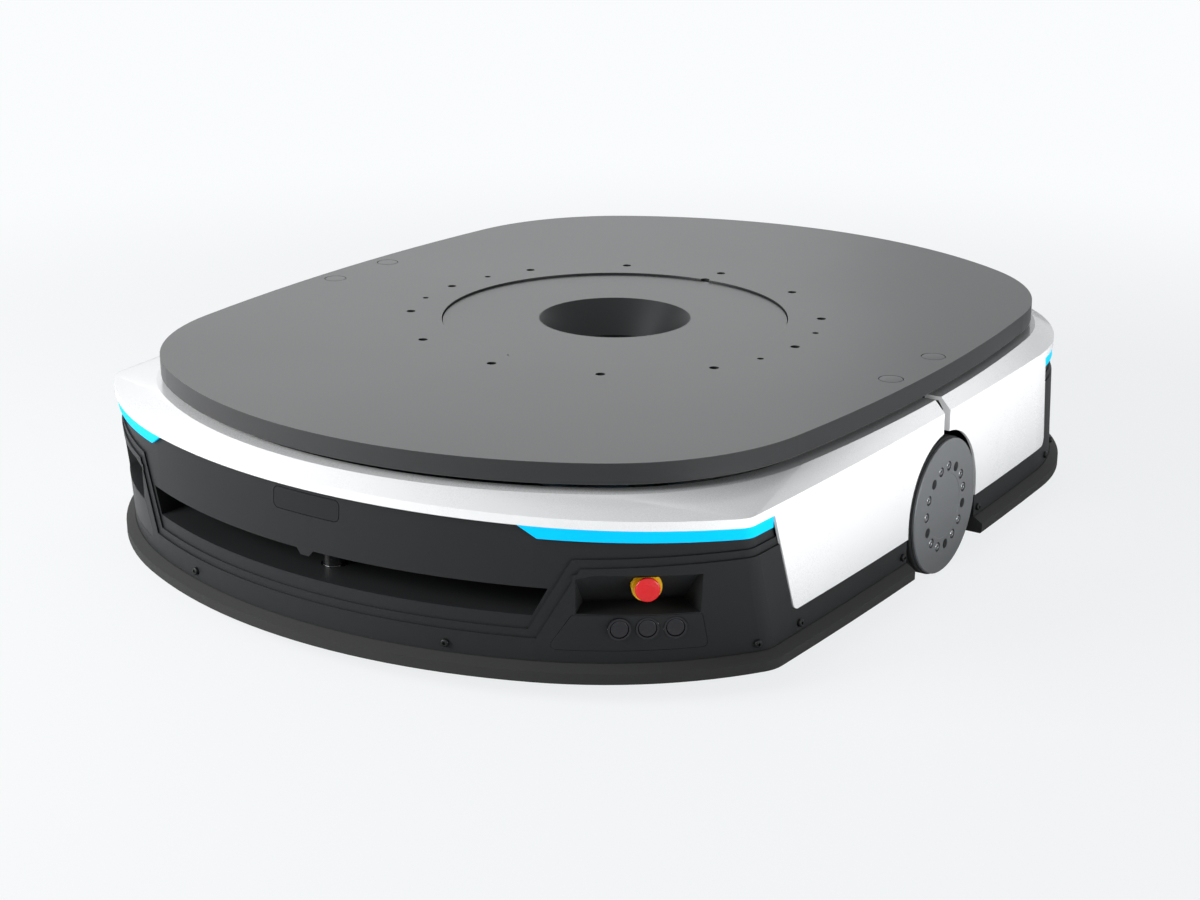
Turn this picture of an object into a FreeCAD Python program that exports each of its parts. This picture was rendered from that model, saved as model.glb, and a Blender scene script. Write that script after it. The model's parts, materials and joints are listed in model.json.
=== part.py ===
"""Autonomous mobile robot: a low differential-drive carrier that lifts and turns a deck.

Frame: millimetres, +Z up, origin on the floor under the middle of the robot. The front faces
-Y, and X runs across the robot. The drive axle lies along X through (0, 0, wheel_radius).
"""
import FreeCAD, Part, Sketcher
import math
import os
import re

Vec = FreeCAD.Vector
X_AXIS = Vec(1, 0, 0)
Y_AXIS = Vec(0, 1, 0)
Z_AXIS = Vec(0, 0, 1)

SIZES = [
    # deck
    ("deck_top", 275.0, "height of the deck's top face above the floor"),
    ("deck_thick", 26.0, "thickness of the deck plate"),
    ("deck_half_width", 500.5, "half width of the deck at the axle"),
    ("deck_end_radius", 645.0, "radius of the deck's front and rear edges, about its centre"),
    ("deck_end_angle", 20.0, "half angle of the deck's middle end arc"),
    ("deck_side_radius", 2750.0, "radius of the deck's long, slightly bowed sides"),
    ("deck_corner_radius", 300.0, "fillet between the deck's ends and sides"),
    ("bolt_circle_radius", 292.7, "radius of the deck's bolt circle"),
    ("bolt_hole_radius", 6.5, "radius of the twelve payload holes"),
    ("bolt_head_radius", 9.5, "radius of a ring bolt's head"),
    ("bolt_head_height", 8.0, "depth of a ring bolt's seat"),
    ("ring_bolt_radius", 5.0, "radius of a ring bolt's shank"),
    ("ring_bolt_clearance", 0.5, "radial clearance of a ring bolt's shank in its holes"),
    ("bolt_grip", 9.0, "height of the narrow lower part of a payload hole, which takes a ring bolt's end"),
    ("dowel_hole_radius", 4.6, "radius of the four small holes on the same circle"),
    ("dowel_angle", 15.0, "angle from the X axis to a small hole"),
    ("plug_x", 468.0, "place across of the four flush plugs"),
    ("plug_y", 62.0, "place along of the four flush plugs"),
    ("plug_radius", 16.5, "radius of a flush plug"),
    ("plug_depth", 6.0, "depth of a flush plug"),
    ("fit_gap", 0.3, "gap between pieces that seat on or turn past each other"),
    ("bearing_gap", 0.05, "radial clearance of a running fit"),
    # slewing ring and centre
    ("disc_radius", 244.5, "radius of the fixed centre disc"),
    ("disc_gap", 1.5, "open ring between centre disc and deck"),
    ("disc_recess", 3.0, "how far the centre disc lies below the deck's top"),
    ("disc_thick", 8.0, "thickness of the centre disc"),
    ("funnel_top_radius", 107.0, "radius of the camera funnel at its mouth"),
    ("funnel_low_radius", 74.0, "radius of the camera funnel at its foot"),
    ("funnel_wall", 2.0, "wall of the camera funnel"),
    ("race_height", 30.0, "height of each slewing race"),
    ("race_split_radius", 266.0, "outer radius of the inner race"),
    ("race_bore_radius", 205.0, "bore radius of the inner race"),
    ("gear_module", 5.0, "module of the slewing teeth"),
    ("gear_teeth", 128, "teeth on the outer race"),
    ("pinion_teeth", 20, "teeth on the slewing pinion"),
    ("ring_drop", 4.0, "gap between the outer race and the carriage"),
    ("funnel_foot", 9.5, "height of the funnel's upright foot"),
    ("carriage_thick", 10.0, "thickness of the lifting carriage"),
    ("carriage_radius", 280.0, "radius of the lifting carriage"),
    ("slew_motor_radius", 38.0, "radius of the slewing motor"),
    ("slew_motor_length", 70.0, "length of the slewing motor"),
    ("pinion_hub_radius", 12.0, "radius of the pinion's hub"),
    ("slew_angle", 225.0, "direction of the slewing pinion from the centre"),
    # lift
    ("jack_offset", 165.0, "place of each jack from both centre planes"),
    ("jack_tube_radius", 26.0, "outer radius of a jack tube"),
    ("jack_rod_radius", 14.0, "radius of a jack rod"),
    ("lift_base_length", 450.0, "side of the square lift base"),
    ("lift_base_thick", 8.0, "thickness of the lift base"),
    # drive wheels
    ("wheel_radius", 93.5, "rolling radius of a drive wheel"),
    ("wheel_face_x", 525.0, "outer face of a drive wheel from the centre plane"),
    ("wheel_face_thick", 4.0, "thickness of the wheel's face disc"),
    ("wheel_face_radius", 91.5, "radius of the wheel's face disc"),
    ("tyre_width", 36.0, "width of the tyre"),
    ("tyre_depth", 14.0, "radial thickness of the tyre"),
    ("wheel_circle_radius", 55.0, "radius of the wheel's circle of screws and holes"),
    ("wheel_first_angle", 84.0, "angle of the first screw from the rear"),
    ("wheel_hole_radius", 6.8, "radius of a plain hole in the wheel"),
    ("screw_head_radius", 6.4, "radius of a wheel screw head"),
    ("gearbox_radius", 45.0, "radius of a drive gearbox"),
    ("gearbox_inner_x", 400.0, "inner end of a drive gearbox"),
    ("motor_radius", 38.0, "radius of a drive motor"),
    ("motor_length", 100.0, "length of a drive motor"),
    ("shaft_radius", 15.0, "radius of a drive shaft"),
    # body outline: upper line of the housing, its foot and the bumper
    ("shell_lip_z", 212.0, "lower lip of the white covers"),
    ("shell_crease_z", 223.5, "crease where the covers start to slope"),
    ("shell_top_z", 239.4, "top of the white covers"),
    ("rim_outside", 6.5, "how far the upper edge of the covers' slope lies outside the deck"),
    ("rim_inside", 17.0, "how far the covers' flange reaches under the deck"),
    ("shell_wall", 3.5, "wall of the white covers"),
    ("split_gap", 17.0, "gap between front and rear covers over the axle"),
    ("split_flange", 11.0, "depth of the flange along a cover's cut end"),
    ("arch_radius", 102.0, "radius of the wheel arches"),
    ("upper_apex", 671.0, "front of the housing at its upper line"),
    ("upper_half_width", 521.4, "half width of the housing at its upper line"),
    ("upper_end_radius", 889.0, "radius of the upper line at the ends"),
    ("upper_end_angle", 19.7, "half angle of that end arc"),
    ("upper_shoulder_radius", 540.0, "radius of the upper line's shoulders"),
    ("upper_corner_radius", 28.0, "radius of the upper line's front corners"),
    ("lower_apex", 684.0, "front of the housing at its foot"),
    ("lower_half_width", 523.0, "half width of the housing at its foot"),
    ("lower_end_radius", 750.0, "radius of the foot line at the ends"),
    ("lower_end_angle", 23.6, "half angle of that end arc"),
    ("lower_shoulder_radius", 471.0, "radius of the foot line's shoulders"),
    ("lower_corner_radius", 40.0, "radius of the foot line's front corners"),
    ("side_radius", 8500.0, "radius of the long, slightly bowed sides"),
    ("rear_corner_radius", 330.0, "radius of the rounder rear corners"),
    ("bumper_stand_out", 12.2, "how far the bumper stands out from the housing"),
    ("bumper_low_z", 24.0, "lowest line of the bumper"),
    ("bumper_face_low_z", 26.0, "lower edge of the bumper's upright face"),
    ("bumper_face_high_z", 38.3, "upper edge of the bumper's upright face"),
    ("bumper_top_z", 46.0, "top of the bumper, where the housing stands on it"),
    ("bumper_wall", 24.0, "thickness of the bumper"),
    ("bumper_end_y", 102.3, "cut ends of the bumper, in front of and behind the wheels"),
    # fascia
    ("fascia_wall", 4.0, "wall of the fascias"),
    ("fascia_step", 5.0, "how far the slot zone lies behind the proud lower zone"),
    ("ribbon_low_z", 79.0, "edge of the proud zone below the slot"),
    ("ribbon_high_z", 168.0, "edge of the proud zone beside the slot"),
    ("ribbon_inner_x", 298.0, "foot of the rising edge of the proud zone"),
    ("ribbon_outer_x", 345.0, "head of the rising edge of the proud zone"),
    ("ribbon_end_z", 180.0, "edge of the proud zone at the corners"),
    ("ribbon_width", 10.0, "width of the bevel band along the proud zone"),
    ("slot_low_z", 100.5, "floor of the scanner slot"),
    ("slot_high_z", 135.0, "roof of the scanner slot"),
    ("slot_low_x", 296.0, "half width of the slot at its floor"),
    ("slot_high_x", 313.0, "half width of the slot at its roof"),
    ("slot_depth", 84.0, "depth of the scanner slot"),
    ("tab_high_half", 13.5, "half width of the tab over the scanner, at the slot's roof"),
    ("tab_low_half", 6.5, "half width of the tab over the scanner, at its foot"),
    ("tab_height", 7.5, "height of the tab over the scanner"),
    ("skirt_low_z", 78.0, "lower edge of the white side skirts"),
    ("skirt_corner_radius", 12.0, "rounded lower corner of a skirt"),
    ("front_pillar_high_y", 434.0, "front edge of the skirt at its top"),
    ("front_pillar_low_y", 386.0, "front edge of the skirt at its foot"),
    ("rear_pillar_high_y", 343.0, "rear edge of the skirt at its top"),
    ("rear_pillar_low_y", 357.0, "rear edge of the skirt at its foot"),
    ("light_low_z", 197.0, "lower edge of the corner lights"),
    ("light_inner_high_x", 281.0, "upper inner end of a corner light"),
    ("light_inner_low_x", 304.0, "lower inner end of a corner light"),
    ("light_depth", 5.5, "depth of a corner light"),
    ("light_recess", 1.5, "how far fascias and lights lie behind the covers"),
    ("seam", 0.5, "gap between neighbouring covers"),
    # control panel
    ("panel_angle", 40.0, "direction of the control panel's normal, from the front"),
    ("panel_x", 411.0, "place across of the panel's middle"),
    ("panel_y", 549.0, "distance of the panel's middle in front of the axle"),
    ("panel_left_low", 116.0, "extent of the panel's foot towards the middle of the robot"),
    ("panel_left_high", 86.0, "extent of the panel's head towards the middle of the robot"),
    ("panel_right_low", 72.0, "extent of the panel's foot towards the corner"),
    ("panel_right_high", 63.5, "extent of the panel's head towards the corner"),
    ("panel_corner_radius", 6.0, "corner radius of the control panel"),
    ("panel_low_z", 62.0, "lower edge of the control panel"),
    ("panel_high_z", 106.0, "upper edge of the control panel"),
    ("panel_thick", 3.0, "thickness of the control panel"),
    ("pocket_left", 84.0, "extent of the pocket's mouth towards the middle of the robot"),
    ("pocket_right", 61.0, "extent of the pocket's mouth towards the corner"),
    ("pocket_taper", 18.0, "angle by which the pocket's side walls close in"),
    ("pocket_high_z", 156.0, "upper edge of the stop button's pocket"),
    ("pocket_tilt", 41.0, "slope of the pocket's back wall from upright"),
    ("estop_z", 137.5, "height of the stop button"),
    ("estop_collar_radius", 18.0, "radius of the stop button's collar"),
    ("estop_head_radius", 15.0, "radius of the stop button's head"),
    ("estop_collar_face", 5.5, "how far the collar's face lies behind the mouth of the pocket"),
    ("estop_head_thick", 7.5, "thickness of the stop button's head"),
    ("fascia_screw_radius", 5.0, "radius of a fascia screw's head"),
    ("fascia_screw_height", 4.0, "height of a fascia screw's head"),
    ("fascia_screw_z", 57.0, "height of the fascia screws"),
    ("side_screw_near_y", 114.0, "place of the side screws near the wheel"),
    ("side_screw_far_y", 372.0, "place of the side screws near the corner"),
    ("estop_travel", 5.0, "travel of the stop button"),
    ("estop_barrel_radius", 11.0, "radius of the stop button's barrel in the fascia"),
    ("estop_neck_radius", 7.0, "radius of the stop button's moving neck"),
    ("switch_length", 26.0, "length of the switch blocks behind the buttons"),
    ("button_z", 90.0, "height of the three push buttons"),
    ("button_pitch", 32.5, "distance between push buttons"),
    ("button_radius", 11.0, "radius of a push button"),
    ("bezel_radius", 13.5, "outer radius of a button's ring"),
    ("button_travel", 2.5, "travel of a push button"),
    ("window_z", 191.5, "middle height of the camera window"),
    ("window_half_width", 51.0, "half width of the camera window"),
    ("window_half_height", 13.0, "half height of the camera window"),
    ("window_corner_radius", 7.0, "corner radius of the camera window"),
    ("window_seam", 0.9, "groove round the camera window"),
    ("window_depth", 2.5, "thickness of the camera window"),
    # sensors and boxes
    ("lidar_y", 617.0, "distance of each scanner from the axle"),
    ("lidar_head_radius", 16.0, "radius of a scanner's head"),
    ("lidar_body_radius", 30.0, "radius of a scanner's body"),
    ("battery_width", 410.0, "width of the battery"),
    ("battery_length", 200.0, "length of the battery"),
    ("battery_height", 104.0, "height of the battery"),
    ("battery_y", 348.0, "near face of the battery from the axle"),
    ("controller_width", 400.0, "width of the controller box"),
    ("controller_length", 200.0, "length of the controller box"),
    ("controller_height", 88.0, "height of the controller box"),
    ("contact_spacing", 70.0, "distance between the charging contacts"),
    ("contact_z", 64.0, "height of the charging contacts"),
    # frames
    ("floor_z", 36.0, "underside of the floor plates"),
    ("floor_thick", 6.0, "thickness of the floor plates"),
    ("well_x", 390.0, "inner edge of the wheel wells"),
    ("well_y", 112.0, "half length of the wheel wells"),
    ("front_floor_end", 235.0, "rear end of the front floor plate"),
    ("rear_floor_start", 245.0, "front end of the rear floor plate"),
    ("front_rail_x", 424.0, "inner face of the front frame's rails"),
    ("rear_rail_x", 408.0, "inner face of the rear frame's rails"),
    ("rail_thick", 8.0, "thickness of the rails"),
    ("rail_high_z", 150.0, "top of the rails"),
    ("rail_end_y", 465.0, "far ends of the rails"),
    ("eye_radius", 60.0, "outer radius of the rear frame's pivot eyes"),
    ("bush_thick", 5.0, "radial thickness of a pivot bush"),
    ("eye_width", 16.0, "width of a pivot eye"),
    # casters
    ("caster_x", 300.0, "place across of the casters"),
    ("caster_y", 440.0, "distance of the casters from the axle"),
    ("caster_radius", 38.0, "radius of a caster wheel"),
    ("caster_width", 32.0, "width of a caster wheel"),
    ("caster_trail", 30.0, "distance of a caster's axle behind its swivel axis"),
    ("caster_plate_z", 113.0, "underside of a caster's mounting plate"),
    ("caster_plate_thick", 5.0, "thickness of a caster's mounting plate"),
    ("caster_bridge_length", 92.0, "length of the frame's bridge over a caster"),
    ("caster_well_radius", 78.0, "radius of the well in the floor around a caster"),
    ("fork_thick", 4.0, "thickness of a caster fork's sides"),
]

doc = FreeCAD.newDocument("mobile_robot")
sheet = doc.addObject("Spreadsheet::Sheet", "Sizes")
for row, (alias, number, meaning) in enumerate(SIZES, start=1):
    sheet.set("A%d" % row, alias)
    sheet.set("B%d" % row, str(number))
    sheet.set("C%d" % row, meaning)
    sheet.setAlias("B%d" % row, alias)
doc.recompute()

ALIASES = re.compile(r"\b(%s)\b" % "|".join(alias for alias, _, _ in SIZES))
sub_parts = []


# ---------------------------------------------------------------- helpers

def size(alias):
    """The number in the sheet's cell with this alias."""
    return float(sheet.get(alias))


def formula(text):
    """The text as an expression on the sheet's cells."""
    return ALIASES.sub(r"Sizes.\1", str(text))


def value(text):
    """What a formula comes to now."""
    result = sheet.evalExpression(formula(text))
    return float(getattr(result, "Value", result))


def bind(item, **formulas):
    """Bind properties of a document object to formulas."""
    for name, text in formulas.items():
        item.setExpression(name.replace("_", "."), formula(text))
    return item


def place(item, x, y, z, axis=Z_AXIS, angle=0.0):
    """Place a document object at formulas x, y, z, turned by a fixed angle."""
    item.Placement = FreeCAD.Placement(Vec(value(x), value(y), value(z)), FreeCAD.Rotation(axis, angle))
    return bind(item, Placement_Base_x=x, Placement_Base_y=y, Placement_Base_z=z)


def keep(item, label):
    """Register an object as a sub-part with its own label."""
    item.Label = label
    sub_parts.append(item)
    return item


def block(name, x, y, z, length, width, height):
    """Box centred on x and y that stands on z."""
    box = doc.addObject("Part::Box", name)
    bind(box, Length=length, Width=width, Height=height)
    return place(box, "(%s) - (%s) / 2" % (x, length), "(%s) - (%s) / 2" % (y, width), z)


def rod(name, radius, length, x, y, z, along="Z", turn=0.0):
    """Cylinder that starts at x, y, z and runs along an axis."""
    cylinder = doc.addObject("Part::Cylinder", name)
    bind(cylinder, Radius=radius, Height=length)
    if along == "X":
        return place(cylinder, x, y, z, Y_AXIS, 90)
    if along == "Y":
        return place(cylinder, x, y, z, X_AXIS, -90)
    return place(cylinder, x, y, z, Z_AXIS, turn)


def fused(name, items):
    """Union of document objects."""
    union = doc.addObject("Part::MultiFuse", name)
    union.Shapes = items
    return union


def cut(name, base, tool):
    """One document object less another."""
    result = doc.addObject("Part::Cut", name)
    result.Base = base
    result.Tool = tool
    return result


def grouped(name, items):
    """Group of separate solids."""
    group = doc.addObject("Part::Compound", name)
    group.Links = items
    return group


def plane_of(body, role):
    """An origin plane or axis of a body."""
    return next(item for item in body.Origin.OriginFeatures if item.Role == role)


def profile(body, plane, points, name="Profile"):
    """Closed polygon sketch whose corners are bound to formulas."""
    sketch = body.newObject("Sketcher::SketchObject", name)
    sketch.AttachmentSupport = [(plane_of(body, plane), "")]
    sketch.MapMode = "FlatFace"
    return polygon(sketch, points)


def polygon(sketch, points):
    """Add a closed polygon with its corners bound to formulas."""
    corners = [Vec(value(x), value(y), 0) for x, y in points]
    first = sketch.GeometryCount
    total = len(corners)
    for index in range(total):
        line = Part.LineSegment(corners[index], corners[(index + 1) % total])
        sketch.addGeometry(line)
    for index in range(total):
        following = first + (index + 1) % total
        sketch.addConstraint(Sketcher.Constraint("Coincident", first + index, 2, following, 1))
    for index, (x, y) in enumerate(points):
        for kind, text, number in (("DistanceX", x, corners[index].x), ("DistanceY", y, corners[index].y)):
            place_in = sketch.addConstraint(Sketcher.Constraint(kind, -1, 1, first + index, 1, number))
            sketch.setExpression("Constraints[%d]" % place_in, formula(text))
    return sketch


def circles(body, plane, places, name="Circles"):
    """Sketch of circles, each a formula for x, y and radius."""
    sketch = body.newObject("Sketcher::SketchObject", name)
    sketch.AttachmentSupport = [(plane_of(body, plane), "")]
    sketch.MapMode = "FlatFace"
    for index, (x, y, radius) in enumerate(places):
        centre = Vec(value(x), value(y), 0)
        sketch.addGeometry(Part.Circle(centre, Z_AXIS, value(radius)))
        entries = (("DistanceX", x, centre.x), ("DistanceY", y, centre.y))
        for kind, text, number in entries:
            at = sketch.addConstraint(Sketcher.Constraint(kind, -1, 1, index, 3, number))
            sketch.setExpression("Constraints[%d]" % at, formula(text))
        at = sketch.addConstraint(Sketcher.Constraint("Radius", index, value(radius)))
        sketch.setExpression("Constraints[%d]" % at, formula(radius))
    return sketch


def new_body(label):
    """PartDesign body with its sub-part label."""
    body = doc.addObject("PartDesign::Body", label)
    return keep(body, label)


def turned(label, points, x="0", y="0", z="0", axis=Z_AXIS, angle=0.0):
    """Body revolved about its own Z axis from a profile of radius and height formulas."""
    body = new_body(label)
    sketch = profile(body, "XZ_Plane", points)
    revolution = body.newObject("PartDesign::Revolution", "Revolution")
    revolution.Profile = sketch
    revolution.ReferenceAxis = (sketch, ["V_Axis"])
    revolution.Angle = 360
    place(body, x, y, z, axis, angle)
    return body


def pocket(body, sketch, depth, reverse=False):
    """Cut a sketch into a body and check that it took something away."""
    doc.recompute()
    before = body.Shape.Volume
    feature = body.newObject("PartDesign::Pocket", "Pocket")
    feature.Profile = sketch
    feature.Type = 0
    bind(feature, Length=depth)
    feature.Reversed = reverse
    doc.recompute()
    if body.Shape.Volume >= before - 1e-6:
        raise ValueError("a pocket in %s cuts nothing" % body.Label)
    return feature


def shaped(label, shape):
    """Sub-part whose shape is made with Part's own functions."""
    feature = doc.addObject("Part::Feature", label)
    feature.Shape = shape
    feature.Placement = shape.Placement
    return keep(feature, label)


# ---------------------------------------------------------------- outline of the housing

class Outline:
    """One end of a plan outline: end arc, shoulder arc, corner and bowed side."""

    def __init__(self, apex, half_width, end_radius, end_angle, shoulder_radius, corner_radius, side_radius):
        self.apex = apex
        self.half_width = half_width
        self.end_radius = end_radius
        self.end_angle = math.radians(end_angle)
        self.shoulder_radius = shoulder_radius
        self.corner_radius = corner_radius
        self.side_radius = side_radius

    def inset(self, distance):
        """The parallel outline inside this one."""
        return Outline(self.apex - distance, self.half_width - distance, self.end_radius - distance,
                       math.degrees(self.end_angle), self.shoulder_radius - distance,
                       max(self.corner_radius - distance, 1.0), self.side_radius - distance)

    def arcs(self):
        """Arcs from the apex on +Y to the widest point on +X, each as three points."""
        sine, cosine = math.sin(self.end_angle), math.cos(self.end_angle)
        end_centre = Vec(0, self.apex - self.end_radius, 0)
        shoulder_start = end_centre + Vec(sine, cosine, 0) * self.end_radius
        shoulder_centre = shoulder_start - Vec(sine, cosine, 0) * self.shoulder_radius
        side_centre = Vec(self.half_width - self.side_radius, 0, 0)
        near, far = self.shoulder_radius - self.corner_radius, self.side_radius - self.corner_radius
        between = shoulder_centre - side_centre
        along = (far ** 2 - near ** 2 + between.Length ** 2) / (2 * between.Length)
        across = math.sqrt(far ** 2 - along ** 2)
        unit = between / between.Length
        choices = [side_centre + unit * along + Vec(-unit.y, unit.x, 0) * across * sign for sign in (1, -1)]
        corner_centre = max(choices, key=lambda point: point.y)
        corner_start = corner_centre + (corner_centre - shoulder_centre).normalize() * self.corner_radius
        corner_end = corner_centre + (corner_centre - side_centre).normalize() * self.corner_radius
        return [
            arc_points(end_centre, self.end_radius, Vec(0, self.apex, 0), shoulder_start),
            arc_points(shoulder_centre, self.shoulder_radius, shoulder_start, corner_start),
            arc_points(corner_centre, self.corner_radius, corner_start, corner_end),
            arc_points(side_centre, self.side_radius, corner_end, Vec(self.half_width, 0, 0)),
        ]


def arc_points(centre, radius, start, end):
    """Start, middle and end of the short arc between two points about a centre."""
    middle = centre + ((start + end) * 0.5 - centre).normalize() * radius
    return start, middle, end


def mirrored(arcs, sign_x, sign_y):
    """Arcs mirrored into another quadrant; the direction of travel stays."""
    return [[Vec(p.x * sign_x, p.y * sign_y, 0) for p in arc] for arc in arcs]


def backwards(arcs):
    """The same arcs in the other direction of travel."""
    return [arc[::-1] for arc in arcs[::-1]]


def outline_wire(front, rear, height):
    """Closed wire at a height, from a front and a rear outline."""
    arcs = mirrored(front.arcs(), 1, -1) + backwards(mirrored(rear.arcs(), 1, 1))
    arcs += mirrored(rear.arcs(), -1, 1) + backwards(mirrored(front.arcs(), -1, -1))
    lift = Vec(0, 0, height)
    return Part.Wire([Part.Arc(*[point + lift for point in arc]).toShape() for arc in arcs])


def stacked(levels):
    """Solid with straight walls from level to level: height, front and rear outline."""
    return Part.makeLoft([outline_wire(front, rear, height) for height, front, rear in levels], True, True)


def upper_line():
    """Front and rear outline at the upper line of the housing."""
    shared = (size("upper_apex"), size("upper_half_width"), size("upper_end_radius"))
    front = Outline(*shared, size("upper_end_angle"), size("upper_shoulder_radius"),
                    size("upper_corner_radius"), size("side_radius"))
    rear = Outline(shared[0], shared[1], size("lower_end_radius"), 12.0, size("lower_end_radius"),
                   size("rear_corner_radius"), size("side_radius"))
    return front, rear


def deck_line(out=0.0):
    """Outline of the deck at one end, moved outwards."""
    radius = size("deck_end_radius")
    line = Outline(radius, size("deck_half_width"), radius, size("deck_end_angle"), radius,
                   size("deck_corner_radius"), size("deck_side_radius"))
    return line.inset(-out)


def foot_line(out=0.0):
    """Front and rear outline at the foot of the housing, moved outwards."""
    front = Outline(size("lower_apex"), size("lower_half_width"), size("lower_end_radius"),
                    size("lower_end_angle"), size("lower_shoulder_radius"), size("lower_corner_radius"),
                    size("side_radius"))
    rear = Outline(size("lower_apex"), size("lower_half_width"), size("lower_end_radius"), 12.0,
                   size("lower_end_radius"), size("rear_corner_radius"), size("side_radius"))
    return front.inset(-out), rear.inset(-out)


def housing(inset):
    """Solid of the housing between its foot and its upper line, moved inwards by an inset."""
    levels = []
    for height, lines in ((size("bumper_top_z"), foot_line()), (size("shell_lip_z"), upper_line())):
        levels.append((height, lines[0].inset(inset), lines[1].inset(inset)))
    return stacked(levels)


def box_between(low, high):
    """Box from its lowest to its highest corner."""
    return Part.makeBox(high[0] - low[0], high[1] - low[1], high[2] - low[2], Vec(*low))


def prism_along_y(points, start, end):
    """Prism of a polygon of x and z, from y start to y end."""
    wire = Part.makePolygon([Vec(x, start, z) for x, z in points + points[:1]])
    return Part.Face(wire).extrude(Vec(0, end - start, 0))


def prism_along_x(points, start, end, corner=None, radius=0.0):
    """Prism of a polygon of y and z, from x start to x end, with one upright edge rounded."""
    wire = Part.makePolygon([Vec(start, y, z) for y, z in points + points[:1]])
    solid = Part.Face(wire).extrude(Vec(end - start, 0, 0))
    if corner is None:
        return solid
    edges = [edge for edge in solid.Edges
             if all(abs(v.Point.y - corner[0]) < 1e-6 and abs(v.Point.z - corner[1]) < 1e-6
                    for v in edge.Vertexes)]
    return solid.makeFillet(radius, edges)


WIDE = 2000.0


def end_space(end, clearance):
    """All space on one side of the axle: end -1 is the front, 1 the rear."""
    near = min(end * clearance, end * WIDE)
    far = max(end * clearance, end * WIDE)
    return box_between((-WIDE, near, -WIDE), (WIDE, far, WIDE))


def skirt_space(end, grow):
    """Space of the side skirts of one end, grown by a seam."""
    high_y = size("front_pillar_high_y" if end < 0 else "rear_pillar_high_y") + grow
    low_y = size("front_pillar_low_y" if end < 0 else "rear_pillar_low_y") + grow
    low_z, high_z = size("skirt_low_z") - grow, size("shell_lip_z") + 1.0
    points = [(0, low_z), (end * low_y, low_z), (end * high_y, high_z), (0, high_z)]
    corner = (end * low_y, low_z)
    spaces = [prism_along_x(points, side * 430.0, side * 600.0, corner, size("skirt_corner_radius"))
              for side in (-1, 1)]
    return spaces[0].fuse(spaces[1])


# ---------------------------------------------------------------- white covers

def cover(label, end):
    """Moulded cover of one end: sloped ring with its flange, and both side skirts."""
    lip, crease, top = size("shell_lip_z"), size("shell_crease_z"), size("shell_top_z")
    wall = size("shell_wall")
    front, rear = upper_line()
    rim, inner_rim = deck_line(size("rim_outside")), deck_line(size("rim_outside") - wall)
    outer = stacked([(lip, front, rear), (crease, front, rear), (top, rim, rim)])
    inner = stacked([(lip - 1, front.inset(wall), rear.inset(wall)),
                     (crease - wall / 2, front.inset(wall), rear.inset(wall)),
                     (top - wall, inner_rim, inner_rim)])
    hole = deck_line(-size("rim_inside"))
    opening = stacked([(crease - 5, hole, hole), (top + 1, hole, hole)])
    ring = outer.cut(inner).cut(opening)
    skirts = housing(0.0).cut(housing(wall)).common(skirt_space(end, 0.0))
    near = end * size("split_gap") / 2
    slab = box_between((-WIDE, min(near, near + end * wall), 0), (WIDE, max(near, near + end * wall), WIDE))
    flange_depth = size("split_flange")
    core = stacked([(lip - 1, front.inset(flange_depth), rear.inset(flange_depth)),
                    (crease, front.inset(flange_depth), rear.inset(flange_depth)),
                    (top - flange_depth / 2, inner_rim, inner_rim)])
    flange = outer.cut(core).cut(opening).fuse(housing(0.0).cut(housing(flange_depth))
                                               .common(skirt_space(end, 0.0))).common(slab)
    shape = ring.fuse(skirts).common(end_space(end, size("split_gap") / 2)).fuse(flange)
    arch = Part.makeCylinder(size("arch_radius"), 2 * WIDE, Vec(-WIDE, 0, size("wheel_radius")), X_AXIS)
    below = box_between((-WIDE, -size("arch_radius"), -10), (WIDE, size("arch_radius"), size("wheel_radius")))
    return shaped(label, shape.cut(arch).cut(below).removeSplitter())


# ---------------------------------------------------------------- fascias, lights and bumpers

def slot_points(grow):
    """Polygon of the scanner slot in x and z, grown by a wall."""
    low, high = size("slot_low_z") - grow, size("slot_high_z") + grow
    low_x, high_x = size("slot_low_x") + grow, size("slot_high_x") + grow
    return [(-low_x, low), (low_x, low), (high_x, high), (-high_x, high)]


def ribbon_points(drop):
    """Polygon of x and z above the edge of the proud zone, lowered by drop."""
    low, high = size("ribbon_low_z") - drop, size("ribbon_high_z") - drop
    inner_x, outer_x = size("ribbon_inner_x") + drop, size("ribbon_outer_x") + drop
    edge, end_z, roof = 560.0, size("ribbon_end_z") - drop, size("shell_lip_z") + 5
    return [(-inner_x, low), (inner_x, low), (outer_x, high), (edge, end_z), (edge, roof),
            (-edge, roof), (-edge, end_z), (-outer_x, high)]


def pillar_y(end, height):
    """Distance of a skirt's leaning edge from the axle at a height."""
    high_y = size("front_pillar_high_y" if end < 0 else "rear_pillar_high_y")
    low_y = size("front_pillar_low_y" if end < 0 else "rear_pillar_low_y")
    share = (height - size("skirt_low_z")) / (size("shell_lip_z") + 1.0 - size("skirt_low_z"))
    return low_y + (high_y - low_y) * share


def light_space(end, grow):
    """Space of the two corner lights of one end, grown by a seam."""
    low_z, high_z = size("light_low_z") - grow, size("shell_lip_z") - 0.3 + grow
    high_x, low_x = size("light_inner_high_x") - grow, size("light_inner_low_x") - grow
    start_y = max(pillar_y(end, low_z), pillar_y(end, high_z)) + size("seam") - grow
    spaces = []
    for side in (-1, 1):
        points = [(side * low_x, low_z), (side * 600, low_z), (side * 600, high_z), (side * high_x, high_z)]
        spaces.append(prism_along_y(points, min(end * start_y, end * 900), max(end * start_y, end * 900)))
    return spaces[0].fuse(spaces[1])


def panel_frame(side):
    """Placement on a front shoulder, side 1 right, -1 left: X along the panel, Y outwards, Z up."""
    origin = Vec(side * size("panel_x"), -size("panel_y"), 0)
    return FreeCAD.Placement(origin, FreeCAD.Rotation(Z_AXIS, 180 + side * size("panel_angle")))


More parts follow.
